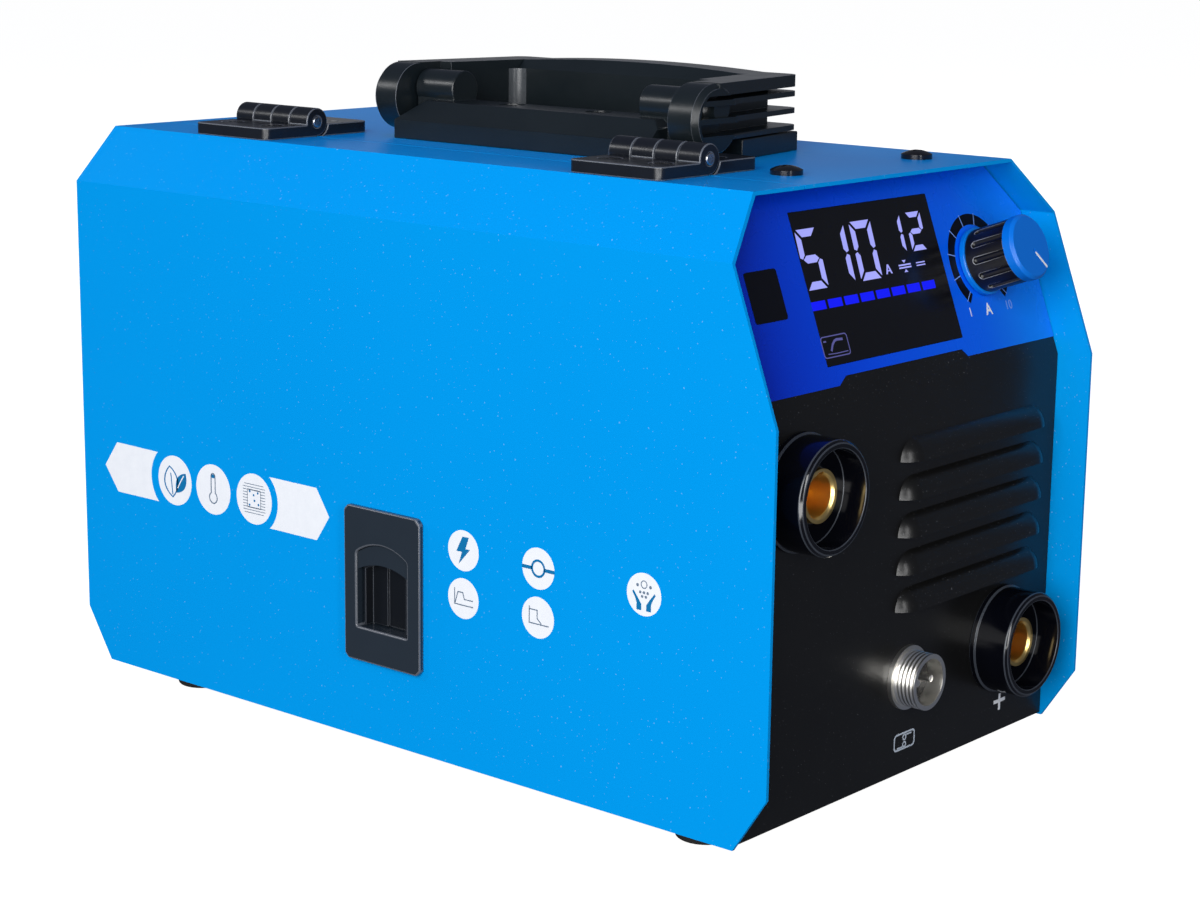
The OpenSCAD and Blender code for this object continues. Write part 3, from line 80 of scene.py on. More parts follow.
turn, tilt, roll = radians(-49.693), radians(12.209), radians(0.730)
backward = Vector((sin(turn) * cos(tilt), -cos(turn) * cos(tilt), sin(tilt)))
level = (-backward).cross(Vector((0, 0, 1))).normalized()
plumb = level.cross(-backward)
rightward = cos(roll) * level + sin(roll) * plumb
upward = cos(roll) * plumb - sin(roll) * level
axes = Matrix((rightward, upward, backward)).transposed().to_4x4()
standpoint = Vector((-0.6821, -0.5944, 0.2933))
camera = added("camera", bpy.data.cameras.new("camera"))
camera.matrix_world = Matrix.Translation(standpoint) @ axes
camera.data.lens = 76.545
camera.data.sensor_width = 36
camera.data.sensor_fit = "HORIZONTAL"
camera.data.clip_start = 0.05
bpy.context.scene.camera = camera
bpy.context.scene.view_settings.view_transform = "Standard"


# ---- Floor plate ----------------------------------------------------------------------
# A folded tray of galvanised sheet closes the casing from below. It carries the spangle
# of hot-dip zinc and fine marks from the press brake.
class Value:
    """A number or a colour that runs through a finish, and can be added and multiplied."""

    def __init__(self, finish, socket):
        self.finish = finish
        self.socket = socket

    def math(self, operation, first, second):
        return self.finish.node("Math", {"operation": operation}, {0: first, 1: second})

    def __add__(self, other):
        return self.math("ADD", self, other)

    def __radd__(self, other):
        return self.math("ADD", other, self)

    def __mul__(self, other):
        return self.math("MULTIPLY", self, other)

    def __rmul__(self, other):
        return self.math("MULTIPLY", other, self)


class Finish:
    """What a piece is made of or coated with: one material and the nodes behind it."""

    def __init__(self, name, **constants):
        self.material = bpy.data.materials.new(name)
        self.material.use_nodes = True
        self.tree = self.material.node_tree
        self.shader = self.tree.nodes["Principled BSDF"]
        for socket, value in constants.items():
            self.shader.inputs[socket.replace("_", " ")].default_value = value
        self.place = self.node("TexCoord", {}, {}, "Object")

    def node(self, kind, settings, sockets, out=0):
        made = self.tree.nodes.new("ShaderNode" + kind)
        for key, setting in settings.items():
            if key == "stops":
                ramp = made.color_ramp.elements
                for stop, (place, colour) in zip((ramp[0], ramp[1]), (setting[0], setting[-1])):
                    stop.position, stop.color = place, colour
                for place, colour in setting[1:-1]:
                    ramp.new(place).color = colour
            else:
                setattr(made, key, setting)
        for key, value in sockets.items():
            self.feed(made.inputs[key], value)
        return Value(self, made.outputs[out])

    def feed(self, socket, value):
        if isinstance(value, Value):
            self.tree.links.new(value.socket, socket)
        else:
            socket.default_value = value

    def set(self, **links):
        for socket, value in links.items():
            self.feed(self.shader.inputs[socket.replace("_", " ")], value)

    def noise(self, size, detail=2.0, rough=0.5, stretch=(1, 1, 1)):
        """soft noise whose blotches are about size millimetres across"""
        place = self.node("Mapping", {}, {"Vector": self.place, "Scale": stretch})
        cells_per_metre = 600 / size
        sockets = {"Scale": cells_per_metre, "Detail": detail, "Roughness": rough}
        return self.node("TexNoise", {}, {"Vector": place} | sockets)

    def between(self, value, low, high, start=0.0, end=1.0):
        """start below low, end above high, and an even change between them"""
        sockets = {"From Min": low, "From Max": high, "To Min": start, "To Max": end}
        return self.node("MapRange", {}, {"Value": value} | sockets)

    def mixed(self, share, first, second):
        """the first colour, with a share of the second"""
        return self.node("Mix", {"data_type": "RGBA"}, {0: share, 6: first, 7: second}, 2)

    def bumps(self, height, depth):
        """a normal with height from 0 to 1 raised by depth millimetres"""
        return self.node("Bump", {}, {"Strength": 1.0, "Distance": depth * mm, "Height": height})

    def axis(self, name):
        return self.node("SeparateXYZ", {}, {0: self.place}, name)


def rgba(r, g, b):
    return (r, g, b, 1.0)


def pick(*objects):
    """selects these objects and nothing else, the first of them active"""
    if bpy.context.object and bpy.context.object.mode != "OBJECT":
        bpy.ops.object.mode_set(mode="OBJECT")
    bpy.ops.object.select_all(action="DESELECT")
    for thing in objects:
        thing.hide_set(False)
        thing.select_set(True)
    bpy.context.view_layer.objects.active = objects[0]


def open_up(piece):
    """starts work on a piece in edit mode, with all of it selected"""
    pick(piece)
    bpy.ops.object.mode_set(mode="EDIT")
    bpy.ops.mesh.select_all(action="SELECT")


def finish_with(piece, *finishes):
    piece.data.materials.clear()
    for finish in finishes:
        piece.data.materials.append(finish.material)


def apply_all(piece):
    pick(piece)
    for modifier in list(piece.modifiers):
        bpy.ops.object.modifier_apply(modifier=modifier.name)


def smooth(piece, sharp=35):
    """smooth shading that leaves the wide flat faces flat"""
    pick(piece)
    bpy.ops.object.shade_smooth_by_angle(angle=radians(sharp))
    flat = piece.modifiers.new("flat", "WEIGHTED_NORMAL")
    flat.weight = 100
    flat.keep_sharp = True
    apply_all(piece)


def merged(node, name):
    """a copy of a node's solid with its triangles joined into whole faces"""
    piece = added(name, frame["nodes"][node].data.copy())
    open_up(piece)
    bpy.ops.mesh.remove_doubles(threshold=0.002 * mm)
    bpy.ops.mesh.dissolve_limited(angle_limit=radians(0.5))
    bpy.ops.object.mode_set(mode="OBJECT")
    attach(piece, frame["nodes"][node]["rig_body"])
    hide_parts(node)
    return piece


def round_edges(piece, width, steps=2, sharp=32, highlight_finish=None, clamp=True):
    """breaks the sharp edges, and may give them a second finish paler than the faces, as a painted
    highlight
    """
    edges = piece.modifiers.new("edges", "BEVEL")
    if highlight_finish:
        piece.data.materials.append(highlight_finish.material)
        edges.material = len(piece.data.materials) - 1
    edges.width = width * mm
    edges.segments = steps
    edges.limit_method = "ANGLE"
    edges.angle_limit = radians(sharp)
    edges.miter_outer = "MITER_ARC"
    edges.use_clamp_overlap = clamp
    apply_all(piece)
    smooth(piece)


def kept_in(piece, node):
    """draws back what a bevel may have pushed past the node's own box"""
    low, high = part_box(node)
    for point in piece.data.vertices:
        point.co = [min(max(place, low[i]), high[i]) for i, place in enumerate(point.co)]
    smooth(piece)


def rounded(node, width, *finishes, steps=2, sharp=32, highlight_finish=None, clamp=True):
    """a node's piece with its sharp edges broken, as moulding, casting or deburring leave them"""
    piece = merged(node, node + "_made")
    finish_with(piece, *finishes)
    round_edges(piece, width, steps, sharp, highlight_finish, clamp)
    kept_in(piece, node)


zinc = Finish("zinc_sheet", Metallic=1.0)
spangle = zinc.node("TexVoronoi", {}, {"Vector": zinc.place, "Scale": 160.0}, "Color")
grey = zinc.node("RGBToBW", {}, {0: spangle})
zinc.set(
    Base_Color=zinc.mixed(grey, rgba(0.52, 0.54, 0.56), rgba(0.60, 0.62, 0.64)),
    Roughness=0.36 + grey * 0.07 + zinc.noise(14) * 0.08,
    Normal=zinc.bumps(zinc.noise(0.9, 3), 0.006),
)
rounded("base_plate", 0.2, zinc)


# ---- Feet -----------------------------------------------------------------------------
# Four moulded rubber feet are pushed into the floor plate. Their skin is matt, with
# dust in its grain.
rubber = Finish("rubber", Specular_IOR_Level=0.25)
rubber.set(
    Base_Color=rubber.mixed(
        rubber.noise(3, 4), rgba(0.012, 0.012, 0.013), rgba(0.032, 0.031, 0.030)
    ),
    Roughness=0.78 + rubber.noise(1.2) * 0.16,
    Normal=rubber.bumps(rubber.noise(0.5, 3), 0.02),
)
rounded("feet", 0.7, rubber, steps=3)


# ---- Divider --------------------------------------------------------------------------
# An upright galvanised sheet parts the wire bay from the electronics. Its flanges are
# folded over and it carries the feeder and the spool.
rounded("divider_panel", 0.2, zinc)


# ---- Front sheet ----------------------------------------------------------------------
# One folded steel sheet makes the leaning control face, the upright socket face and its
# five pressed louvres. It is powder coated in fine satin black, a little dusty.
black_paint = Finish("black_paint", Specular_IOR_Level=0.40)
dust = black_paint.noise(0.35, 1, 0.4)
smear = black_paint.noise(38, 4, 0.62, (1.0, 1.0, 0.6))
black_paint.set(
    Base_Color=black_paint.mixed(
        black_paint.between(dust, 0.735, 0.76) * 0.35,
        black_paint.mixed(smear, rgba(0.0035, 0.0035, 0.0034), rgba(0.0085, 0.0084, 0.0080)),
        rgba(0.30, 0.31, 0.33),
    ),
    Roughness=0.22 + smear * 0.12 + black_paint.noise(1.6) * 0.05,
    Normal=black_paint.bumps(black_paint.noise(1.1, 2), 0.010),
)
rounded("front_panel", 0.35, black_paint, steps=3)


# ---- Rear sheet -----------------------------------------------------------------------
# The rear wall is punched with bars of slots before the fan and painted like the casing.
# The paint is a smooth azure powder coat with the faint ripple of baked powder.
azure = Finish("blue_paint", Specular_IOR_Level=0.06)
drift = azure.noise(120, 3, 0.6)
speck = azure.noise(0.5, 1, 0.4)
scuff = azure.noise(5, 5, 0.7, (1.0, 0.25, 1.0))
azure.set(
    Base_Color=azure.mixed(
        azure.between(speck, 0.745, 0.77) * 0.20,
        azure.mixed(drift, rgba(0.0, 0.284, 0.735), rgba(0.0, 0.306, 0.775)),
        rgba(0.65, 0.80, 0.95),
    ),
    Roughness=0.30 + drift * 0.08 + azure.between(scuff, 0.60, 0.72) * 0.12,
    Normal=azure.bumps(azure.noise(1.8, 2), 0.008),
)
frame["nodes"]["rear_panel"].data.materials[0] = azure.material


# ---- Cover and door -------------------------------------------------------------------
# Two folded sheets of painted steel wrap the frame: the fixed cover makes the roof and
# the right wall, and the door makes the left wall and the roof strip up to the seam.
def round_chosen(piece, chosen, radius, finish=-1):
    """rounds only the edges whose two ends, in millimetres, are chosen"""
    open_up(piece)
    bpy.ops.mesh.select_all(action="DESELECT")
    bpy.ops.mesh.select_mode(type="EDGE")
    bpy.ops.object.mode_set(mode="OBJECT")
    for edge in piece.data.edges:
        edge.select = chosen(*(piece.data.vertices[i].co * 1000 for i in edge.vertices))
    bpy.ops.object.mode_set(mode="EDIT")
    bpy.ops.mesh.bevel(
        offset=radius * mm, segments=5, affect="EDGES", clamp_overlap=True, material=finish
    )
    bpy.ops.object.mode_set(mode="OBJECT")


wall_x, wall_top = 91.2, 188.6
roof_edge_x, under_roof = 72.5, 206
long_fold, broad = 100, 200 * mm ** 2


def on_fold(a, b):
    on_wall = abs(abs(a.x) - wall_x) < 1.6 and abs(a.z - wall_top) < 1.4
    on_roof = abs(abs(a.x) - roof_edge_x) < 1.2 and a.z > under_roof
    return (on_wall or on_roof) and abs(a.y - b.y) > long_fold


def folded(node):
    """a node's sheet with its long folds rounded and its broad faces flat to their corners"""
    sheet = merged(node, node + "_made")
    finish_with(sheet, azure)
    round_chosen(sheet, on_fold, 1.0)
    round_edges(sheet, 0.22, steps=2, sharp=60)
    kept_in(sheet, node)
    shades = [corner.vector.copy() for corner in sheet.data.corner_normals]
    for face in sheet.data.polygons:
        for corner in face.loop_indices if face.area > broad else ():
            shades[corner] = face.normal.copy()
    sheet.data.normals_split_custom_set(shades)


folded("cover")
folded("door")


# ---- Signs on the door ----------------------------------------------------------------
# White ink is screen printed on the painted door: a band of two arrows with three discs,
# and five smaller discs with plain pictograms. Blue ink draws the signs on the white.
def facing(corner, right, up):
    """a place on a face: its corner, and what is right and up for one who looks at it"""
    right, up = Vector(right), Vector(up)
    turned = Matrix((right, up, right.cross(up))).transposed().to_4x4()
    return Matrix.Translation(Vector(corner) * mm) @ turned @ Matrix.Scale(mm, 4)


def disc(x, y, r, steps=48):
    angles = [2 * pi * i / steps for i in range(steps)]
    return [(x + r * cos(a), y + r * sin(a)) for a in angles]


def arc(x, y, r, start, end, steps=24):
    angles = [radians(start + (end - start) * i / steps) for i in range(steps + 1)]
    return [(x + r * cos(a), y + r * sin(a)) for a in angles]


def slab(x0, y0, x1, y1, r=0.0):
    """a rectangle, its corners rounded by r"""
    if not r:
        return [(x0, y0), (x1, y0), (x1, y1), (x0, y1)]
    corners = (
        (x1 - r, y1 - r, 0), (x0 + r, y1 - r, 90), (x0 + r, y0 + r, 180), (x1 - r, y0 + r, 270)
    )
    return [point for x, y, a in corners for point in arc(x, y, r, a, a + 90, 6)]


def line(points, width):
    """the outline of a line of that width drawn through the points"""
    sides = []
    for i, here in enumerate(points):
        here = Vector(here)
        before = Vector(points[max(i - 1, 0)])
        after = Vector(points[min(i + 1, len(points) - 1)])
        into = (here - before if i else after - here).normalized()
        out = (after - here if i < len(points) - 1 else here - before).normalized()
        across = Vector((-into.y - out.y, into.x + out.x)).normalized()
        reach = width / 2 / max(across.dot(Vector((-into.y, into.x))), 0.4)
        sides.append((here + across * reach, here - across * reach))
    return [tuple(left) for left, _ in sides] + [tuple(right) for _, right in reversed(sides)]


def inked(name, place, body, finish, *layers, thick=0.06):
    """ink laid on a face: each layer holds outlines, where one inside another is a hole"""
    parts = []
    for outlines in layers:
        curve = bpy.data.curves.new(name, "CURVE")
        curve.dimensions = "2D"
        curve.fill_mode = "BOTH"
        curve.extrude = thick / 2
        for outline in outlines:
            spline = curve.splines.new("POLY")
            spline.points.add(len(outline) - 1)
            for point, (x, y) in zip(spline.points, outline):
                point.co = (x, y, 0, 1)
            spline.use_cyclic_u = True
        parts.append(added(name, curve))
    pick(*parts)
    bpy.ops.object.convert(target="MESH")
    if len(parts) > 1:
        bpy.ops.object.join()
    return settled(name, place, body, finish)


def sealed(piece, nearest):
    """joins the points of a mesh that coincide, and turns its faces outwards"""
    open_up(piece)
    bpy.ops.mesh.remove_doubles(threshold=nearest)
    bpy.ops.mesh.normals_make_consistent(inside=False)
    bpy.ops.object.mode_set(mode="OBJECT")


def settled(name, place, body, finish):
    """the flat mesh just made, closed, put in its place and given its ink"""
    piece = bpy.context.object
    piece.name = name
    sealed(piece, 0.0005)
    piece.data.transform(place)
    finish_with(piece, finish)
    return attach(piece, body)


def ink(name, dark, light, rough=0.42, **constants):
    """printed colour, a little thinner in places where the mesh of the screen held it back"""
    printed = Finish(name, Specular_IOR_Level=0.12, **constants)
    printed.set(
        Base_Color=printed.mixed(printed.noise(2.5, 4, 0.7), dark, light),
        Roughness=rough + printed.noise(0.8) * 0.1,
    )
    return printed


white_ink = ink("white_ink", rgba(0.76, 0.79, 0.84), rgba(0.88, 0.90, 0.93))
sign_blue = ink("sign_blue", rgba(0.004, 0.14, 0.34), rgba(0.006, 0.18, 0.42))
sign_grey = ink("sign_grey", rgba(0.12, 0.17, 0.24), rgba(0.17, 0.23, 0.31))

# here x runs from the door's front edge to the rear as a negative number, y is the height
door_face = facing((-91.6, -161, 8), (0, -1, 0), (0, 0, 1))
leaf_disc, heat_disc, chip_disc = (-270.3, 75.8), (-249.3, 75.8), (-227.6, 75.8)
rear_arrow = [(-309.8, 75.8), (-302.7, 66.5)] + arc(*leaf_disc, 13.1, 225, 135) + [(-302.7, 85.3)]
front_arrow = [(-189.3, 75.6), (-195.6, 85.0)] + arc(*chip_disc, 12.3, 49, -49) + [(-195.6, 66.4)]
discs = [disc(*leaf_disc, 9.2), disc(*heat_disc, 9.2), disc(*chip_disc, 9.2)]
bolt_disc, ring_disc, hands_disc = (-125.8, 75.0), (-92.8, 74.9), (-48.9, 74.6)
rise_disc, drop_disc = (-125.8, 58.7), (-92.8, 58.6)
discs += [disc(*spot, 6.9) for spot in (bolt_disc, ring_disc, hands_disc, rise_disc, drop_disc)]
inked("door_signs", door_face, "side_door", white_ink, [rear_arrow, front_arrow] + discs)


def shifted(spot, *outlines):
    return [[(spot[0] + x, spot[1] + y) for x, y in outline] for outline in outlines]


def leaf(length, belly, lean, root):
    """a pointed leaf that leans by so many degrees from its root"""
    half = [(belly * sin(pi * i / 10) ** 0.8, length * i / 10) for i in range(11)]
    edge = half + [(-x, y) for x, y in reversed(half[1:-1])]
    c, s = cos(radians(lean)), sin(radians(lean))
    return [(root[0] + x * c + y * s, root[1] - x * s + y * c) for x, y in edge]


door_top = facing((-91.63, -161, 8), (0, -1, 0), (0, 0, 1))
inked(
    "leaf_sign", door_top, "side_door", sign_blue,
    shifted(leaf_disc, leaf(12.0, 4.0, -8, (-1.2, -6.6)), leaf(10.8, 3.3, -8, (-1.3, -6.0))),
    shifted(leaf_disc, leaf(9.4, 2.6, 34, (0.8, -4.4))),
    shifted(leaf_disc, line([(-1.3, -5.4), (-2.2, 2.6)], 0.5)),
)
inked("leaf_vein", door_face @ Matrix.Translation((0, 0, 0.05)), "side_door", white_ink,
      shifted(leaf_disc, line([(1.5, -2.6), (3.0, -0.2), (4.9, 2.4)], 0.45)))
stem = arc(0, 4.8, 1.3, 0, 180, 10) + arc(0, -3.0, 2.3, 126, 414, 20)
bore = arc(0, 4.8, 0.8, 0, 180, 10) + arc(0, -3.0, 1.8, 118, 422, 20)
inked("heat_sign", door_top, "side_door", sign_grey, shifted(heat_disc, stem, bore))
inked("heat_tip", door_top, "side_door", sign_blue,
      shifted(heat_disc, slab(-0.85, 4.2, 0.85, 5.5, 0.3)))
traces = []
for i in range(11):
    y, reach = 5.2 - 1.04 * i, 5.8 if 0 < i < 10 else 5.0
    gap = 3.3 if 2 < i < 8 else 0
    sides = ((-reach, -gap), (gap, reach)) if gap else ((-reach, reach),)
    traces.append(shifted(chip_disc, *(slab(x0, y - 0.13, x1, y + 0.13) for x0, x1 in sides)))
chip_edges = slab(-3.6, -3.4, 3.6, 3.4, 0.5), slab(-3.35, -3.15, 3.35, 3.15, 0.4)
traces.append(shifted(chip_disc, *chip_edges))
inked("chip_sign", door_top, "side_door", sign_grey, *traces)
pads = ((-2.2, 2.6), (-0.2, 1.4), (2.0, 2.4), (0.2, -0.6), (-2.4, -2.4), (2.3, -1.8))
inked("chip_pads", door_face @ Matrix.Translation((0, 0, 0.05)), "side_door", sign_blue,
      [disc(chip_disc[0] + x, chip_disc[1] + y, 0.45, 10) for x, y in pads])
flash = [(-0.4, 4.7), (2.5, 4.8), (1.0, 0.7), (3.0, 0.7), (-2.1, -4.8), (-0.6, -0.5), (-3.1, -0.5)]
inked(
    "small_signs", door_top, "side_door", sign_blue,
    shifted(bolt_disc, flash),
    shifted(ring_disc, slab(-6.95, -0.75, -2.7, 0.45)),
    shifted(ring_disc, slab(2.7, -0.75, 6.95, 0.45)),
    shifted(ring_disc, disc(0, 0, 3.05), disc(0, 0, 2.25)),
)
half_hand = [(1.0, -5.2), (1.0, -3.2), (2.2, -1.6), (4.2, 0.9),
             (4.7, 0.4), (3.6, -1.3), (2.9, -3.0), (2.9, -5.2)]
dots = (
    (-2.6, 2.7, 0.55), (2.6, 2.7, 0.55), (-1.5, 0.6, 0.5), (0, 0.6, 0.5), (1.5, 0.6, 0.5),
    (-0.7, -0.7, 0.5), (0.8, -0.7, 0.5),
)
rise_curve = [(-3.7, -2.0), (-2.4, 2.0), (-0.2, 2.0), (0.5, -0.2), (4.4, -0.2)]
drop_curve = [(-3.5, 2.4), (-0.3, 2.4), (-0.3, -0.3), (1.5, -1.9)]
inked(
    "graph_signs", door_top, "side_door", sign_grey,
    shifted(rise_disc, line([(-3.9, 3.2), (-3.9, -2.3), (4.5, -2.3)], 0.4)),
    shifted(rise_disc, line(rise_curve, 0.4)),
    shifted(drop_disc, line([(-3.7, 3.4), (-3.7, -2.2), (4.7, -2.2)], 0.4)),
    shifted(drop_disc, line(drop_curve, 0.4)),
    shifted(hands_disc, disc(0, 3.2, 1.35, 24), disc(0, 3.2, 1.0, 24)),
    [disc(hands_disc[0] + x, hands_disc[1] + y, r, 10) for x, y, r in dots],
)
inked("hands_sign", door_top, "side_door", sign_blue,
      shifted(hands_disc, half_hand, [(-x, y) for x, y in reversed(half_hand)]))


# ---- Front film -----------------------------------------------------------------------
# A polyester film printed deep blue on its back covers the leaning face. Its surface is
# glossy, with a soft waviness where it bonds to the steel.
film = Finish("blue_film", Specular_IOR_Level=0.25)
# The film's colour runs from dark at the left edge to bright at the right: painted shade at the
# left and painted reflected light at the right.
across = film.between(film.axis("X"), -0.080, 0.085)
shade_to_light_ramp = (
    (0.0, rgba(0.0, 0.009, 0.46)),
    (0.40, rgba(0.0, 0.068, 0.82)),
    (0.78, rgba(0.0, 0.135, 0.92)),
    (1.0, rgba(0.008, 0.250, 0.88)),
)
film.set(
    Base_Color=film.mixed(
        film.noise(60, 2) * 0.3,
        film.node("ValToRGB", {"stops": shade_to_light_ramp}, {0: across}),
        rgba(0.0, 0.11, 0.90),
    ),
    Roughness=0.24 + film.noise(6) * 0.06,
    Normal=film.bumps(film.noise(9, 2), 0.015),
)
frame["nodes"]["panel_film"].data.materials[0] = film.material


# ---- Hinges ---------------------------------------------------------------------------
# Two block hinges of black die-cast alloy join the door's roof strip to the cover. Each
# has a leaf either side of the seam, four knuckles, a bright steel pin and small screws.
def moulded(name, dark, light, rough, grain=0.9, depth=0.012, gloss=0.5):
    """moulded or cast stuff: slow flow marks in its colour and a fine grain on its skin"""
    plastic = Finish(name, Specular_IOR_Level=gloss)
    flow = plastic.noise(22, 3, 0.6)
    plastic.set(
        Base_Color=plastic.mixed(flow, dark, light),
        Roughness=rough + plastic.noise(4, 3) * 0.10,
        Normal=plastic.bumps(plastic.noise(grain, 2), depth),
    )
    return plastic


def metal(name, dark, light, rough, grain=0.5, stretch=(1, 1, 1), depth=0.004):
    """bare metal: turning or rolling lines in its roughness, and blotches of handling"""
    bare = Finish(name, Metallic=1.0)
    lines = bare.noise(grain, 3, 0.6, stretch)
    bare.set(
        Base_Color=bare.mixed(bare.noise(8, 3), dark, light),
        Roughness=rough + lines * 0.12,
        Normal=bare.bumps(lines, depth),
    )
    return bare


hinge_black = moulded(
    "hinge_black", rgba(0.0045, 0.0060, 0.0095), rgba(0.0090, 0.0110, 0.0155),
    rough=0.24, grain=1.4, depth=0.03, gloss=0.45,
)
bright_steel = metal("bright_steel", rgba(0.50, 0.51, 0.53), rgba(0.66, 0.67, 0.69), rough=0.22)
black_screw = moulded(
    "black_screw", rgba(0.004, 0.004, 0.005), rgba(0.008, 0.008, 0.010),
    rough=0.14, grain=1.0, depth=0.006, gloss=0.5,
)
# A dim pale finish for rounded edges: painted highlight on the latch slider and the socket rims.
dim_edge_highlight = moulded(
    "dim_edge_highlight_black", rgba(0.020, 0.025, 0.034), rgba(0.055, 0.062, 0.075),
    rough=0.24, grain=0.7, depth=0.01, gloss=0.6,
)
# A pale finish for rounded edges: painted highlight where the edges would catch the light.
painted_edge_highlight = moulded(
    "painted_edge_highlight", rgba(0.060, 0.070, 0.085), rgba(0.140, 0.150, 0.170),
    rough=0.22, grain=0.7, depth=0.01, gloss=0.7,
)
# The leaves' rounded edges take the pale finish as a painted highlight.
for node in ("front_door_leaf", "rear_door_leaf", "front_cover_leaf", "rear_cover_leaf"):
    rounded(node, 0.4, hinge_black, steps=3, highlight_finish=painted_edge_highlight, clamp=False)
rounded("hinge_pins", 0.4, bright_steel, steps=3)
rounded("door_leaf_screws", 0.15, black_screw)
rounded("cover_leaf_screws", 0.15, black_screw)


# ---- Casing screws --------------------------------------------------------------------
# Two domed black screws hold the cover's roof to the front flange, and side screws hold
# its right wall to the floor plate.
rounded("roof_screws", 0.3, black_screw, steps=3)
rounded("side_screws", 0.25, black_screw)


# ---- Door latch -----------------------------------------------------------------------
# A black moulded plate with an arched finger pocket is clipped into the door. Behind its
# pocket slides a thumb piece with a shallow cup and a bolt that drops behind the keeper.
latch_black = moulded(
    "black_plastic", rgba(0.0140, 0.0215, 0.0310), rgba(0.0185, 0.0270, 0.0380),
    rough=0.22, grain=1.1, depth=0.008, gloss=0.50,
)


def trimmed(piece, place, way):
    """cuts off what lies past a place in one direction, and closes the cut"""
    open_up(piece)
    place = Vector(place) * mm
    bpy.ops.mesh.bisect(plane_co=place, plane_no=way, use_fill=True, clear_outer=True)
    bpy.ops.object.mode_set(mode="OBJECT")


slider = merged("latch_slider", "latch_slider_made")
slider_front = -86.9
trimmed(slider, (slider_front, 0, 0), (-1, 0, 0))
pocket_y, pocket_half = 1, 12


def arched(radius, middle, half, low, front, back):
    """a plate with a round top: a disc on its side, trimmed at its flanks and foot"""
    bpy.ops.object.select_all(action="DESELECT")
    bpy.ops.mesh.primitive_cylinder_add(
        vertices=128, radius=radius * mm, depth=(back - front) * mm,
        location=((front + back) / 2 * mm, pocket_y * mm, middle * mm), rotation=(0, pi / 2, 0),
    )
    plate = bpy.context.object
    bpy.ops.object.transform_apply(location=True, rotation=True, scale=True)
    trimmed(plate, (0, pocket_y - half, 0), (0, -1, 0))
    trimmed(plate, (0, pocket_y + half, 0), (0, 1, 0))
    trimmed(plate, (0, 0, low), (0, 0, -1))
    return plate


def cut_by(piece, tool, how="DIFFERENCE"):
    """cuts the tool's shape out of the piece, or joins it on, and throws the tool away"""
    cut = piece.modifiers.new("cut", "BOOLEAN")
    cut.operation = how
    cut.object = tool
    apply_all(piece)
    bpy.data.objects.remove(tool)


# the pocket's round top becomes a flatter arch, and its foot a little higher
escutcheon = merged("latch_plate", "latch_plate_made")
flange_back = -85.7
round_arch_z, round_arch_r = 61.3, 15
flat_arch_z, flat_arch_r = 57.5, 20.8
pocket_foot, foot_rise = 46.3, 2
for point in escutcheon.data.vertices:
    x, y, z = point.co * 1000
    beside = abs(y - pocket_y)
    if x > flange_back or beside > pocket_half + 0.1:
        continue
    if abs(sqrt(beside ** 2 + (z - round_arch_z) ** 2) - round_arch_r) < 0.2:
        crown = sqrt(flat_arch_r ** 2 - min(beside, pocket_half) ** 2)
        point.co.z = (flat_arch_z + crown) * mm
    elif abs(z - pocket_foot) < 0.1:
        point.co.z += foot_rise * mm
finish_with(escutcheon, latch_black)
# The plate's rounded edges take the pale finish as a painted highlight.
round_edges(escutcheon, 0.9, steps=4, highlight_finish=painted_edge_highlight)
hood = arched(radius=20.6, middle=57.5, half=12.2, low=60.0, front=-92.9, back=-92.1)
cut_by(hood, arched(radius=26.3, middle=45.0, half=13.0, low=50.0, front=-95.0, back=-90.0))
finish_with(hood, latch_black)
pick(escutcheon, hood)
bpy.ops.object.join()
smooth(escutcheon)
thumb = arched(radius=20.8, middle=51.0, half=10.2, low=48.8, front=-91.8, back=-86.8)
cut_by(thumb, arched(radius=22.0, middle=49.0, half=9.4, low=46.0, front=-93.0, back=-88.2))
deeper = arched(radius=22.0, middle=49.0, half=9.4, low=46.0, front=-90.0, back=-87.3)
deep_end = 3.4
trimmed(deeper, (0, deep_end, 0), (0, 1, 0))
cut_by(thumb, deeper)
pick(slider, thumb)
bpy.ops.object.join()
slider_black = moulded(
    "slider_black", rgba(0.0030, 0.0042, 0.0065), rgba(0.0050, 0.0068, 0.0100),
    rough=0.30, grain=1.1, depth=0.008, gloss=0.35,
)
finish_with(slider, slider_black)
# The slider's rounded edges take a dim paler finish: painted highlight.
round_edges(slider, 0.2, steps=2, highlight_finish=dim_edge_highlight)
rounded("latch_keeper", 0.2, zinc)
low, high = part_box("latch_spring")
middle, length = (low + high) / 2, high.z - low.z
wire, coils, around, travel = 0.32 * mm, 9, 24, 6.1 * mm
helix = bpy.data.curves.new("latch_coil", "CURVE")
helix.dimensions = "3D"
helix.bevel_depth = wire
helix.bevel_resolution = 2
helix.use_fill_caps = True
path = helix.splines.new("POLY")
path.points.add(around * coils)
reach = (high.x - low.x) / 2 - wire
for i, point in enumerate(path.points):
    turned_by = 2 * pi * i / around
    rise = low.z + wire + (length - 2 * wire) * i / (around * coils)
    x, y = middle.x + reach * cos(turned_by), middle.y + reach * sin(turned_by)
    point.co = (x, y, rise, 1)
coil = added("latch_coil", helix)
pick(coil)
bpy.ops.object.convert(target="MESH")
coil = bpy.context.object
sealed(coil, 0.002 * mm)
finish_with(coil, bright_steel)
smooth(coil, 60)
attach(coil, "side_door")
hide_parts("latch_spring")
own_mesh(coil)


# ---- Carrying handle ------------------------------------------------------------------
# The handle is moulded in glass-filled nylon: a base block with two bosses screwed to the
# roof, and a folding bow with ribbed ends that turns on steel pins. Its skin is grained.
nylon = moulded(
    "handle_nylon", rgba(0.0050, 0.0085, 0.0110), rgba(0.0090, 0.0135, 0.0160),
    rough=0.26, grain=0.8, depth=0.02, gloss=0.50,
)


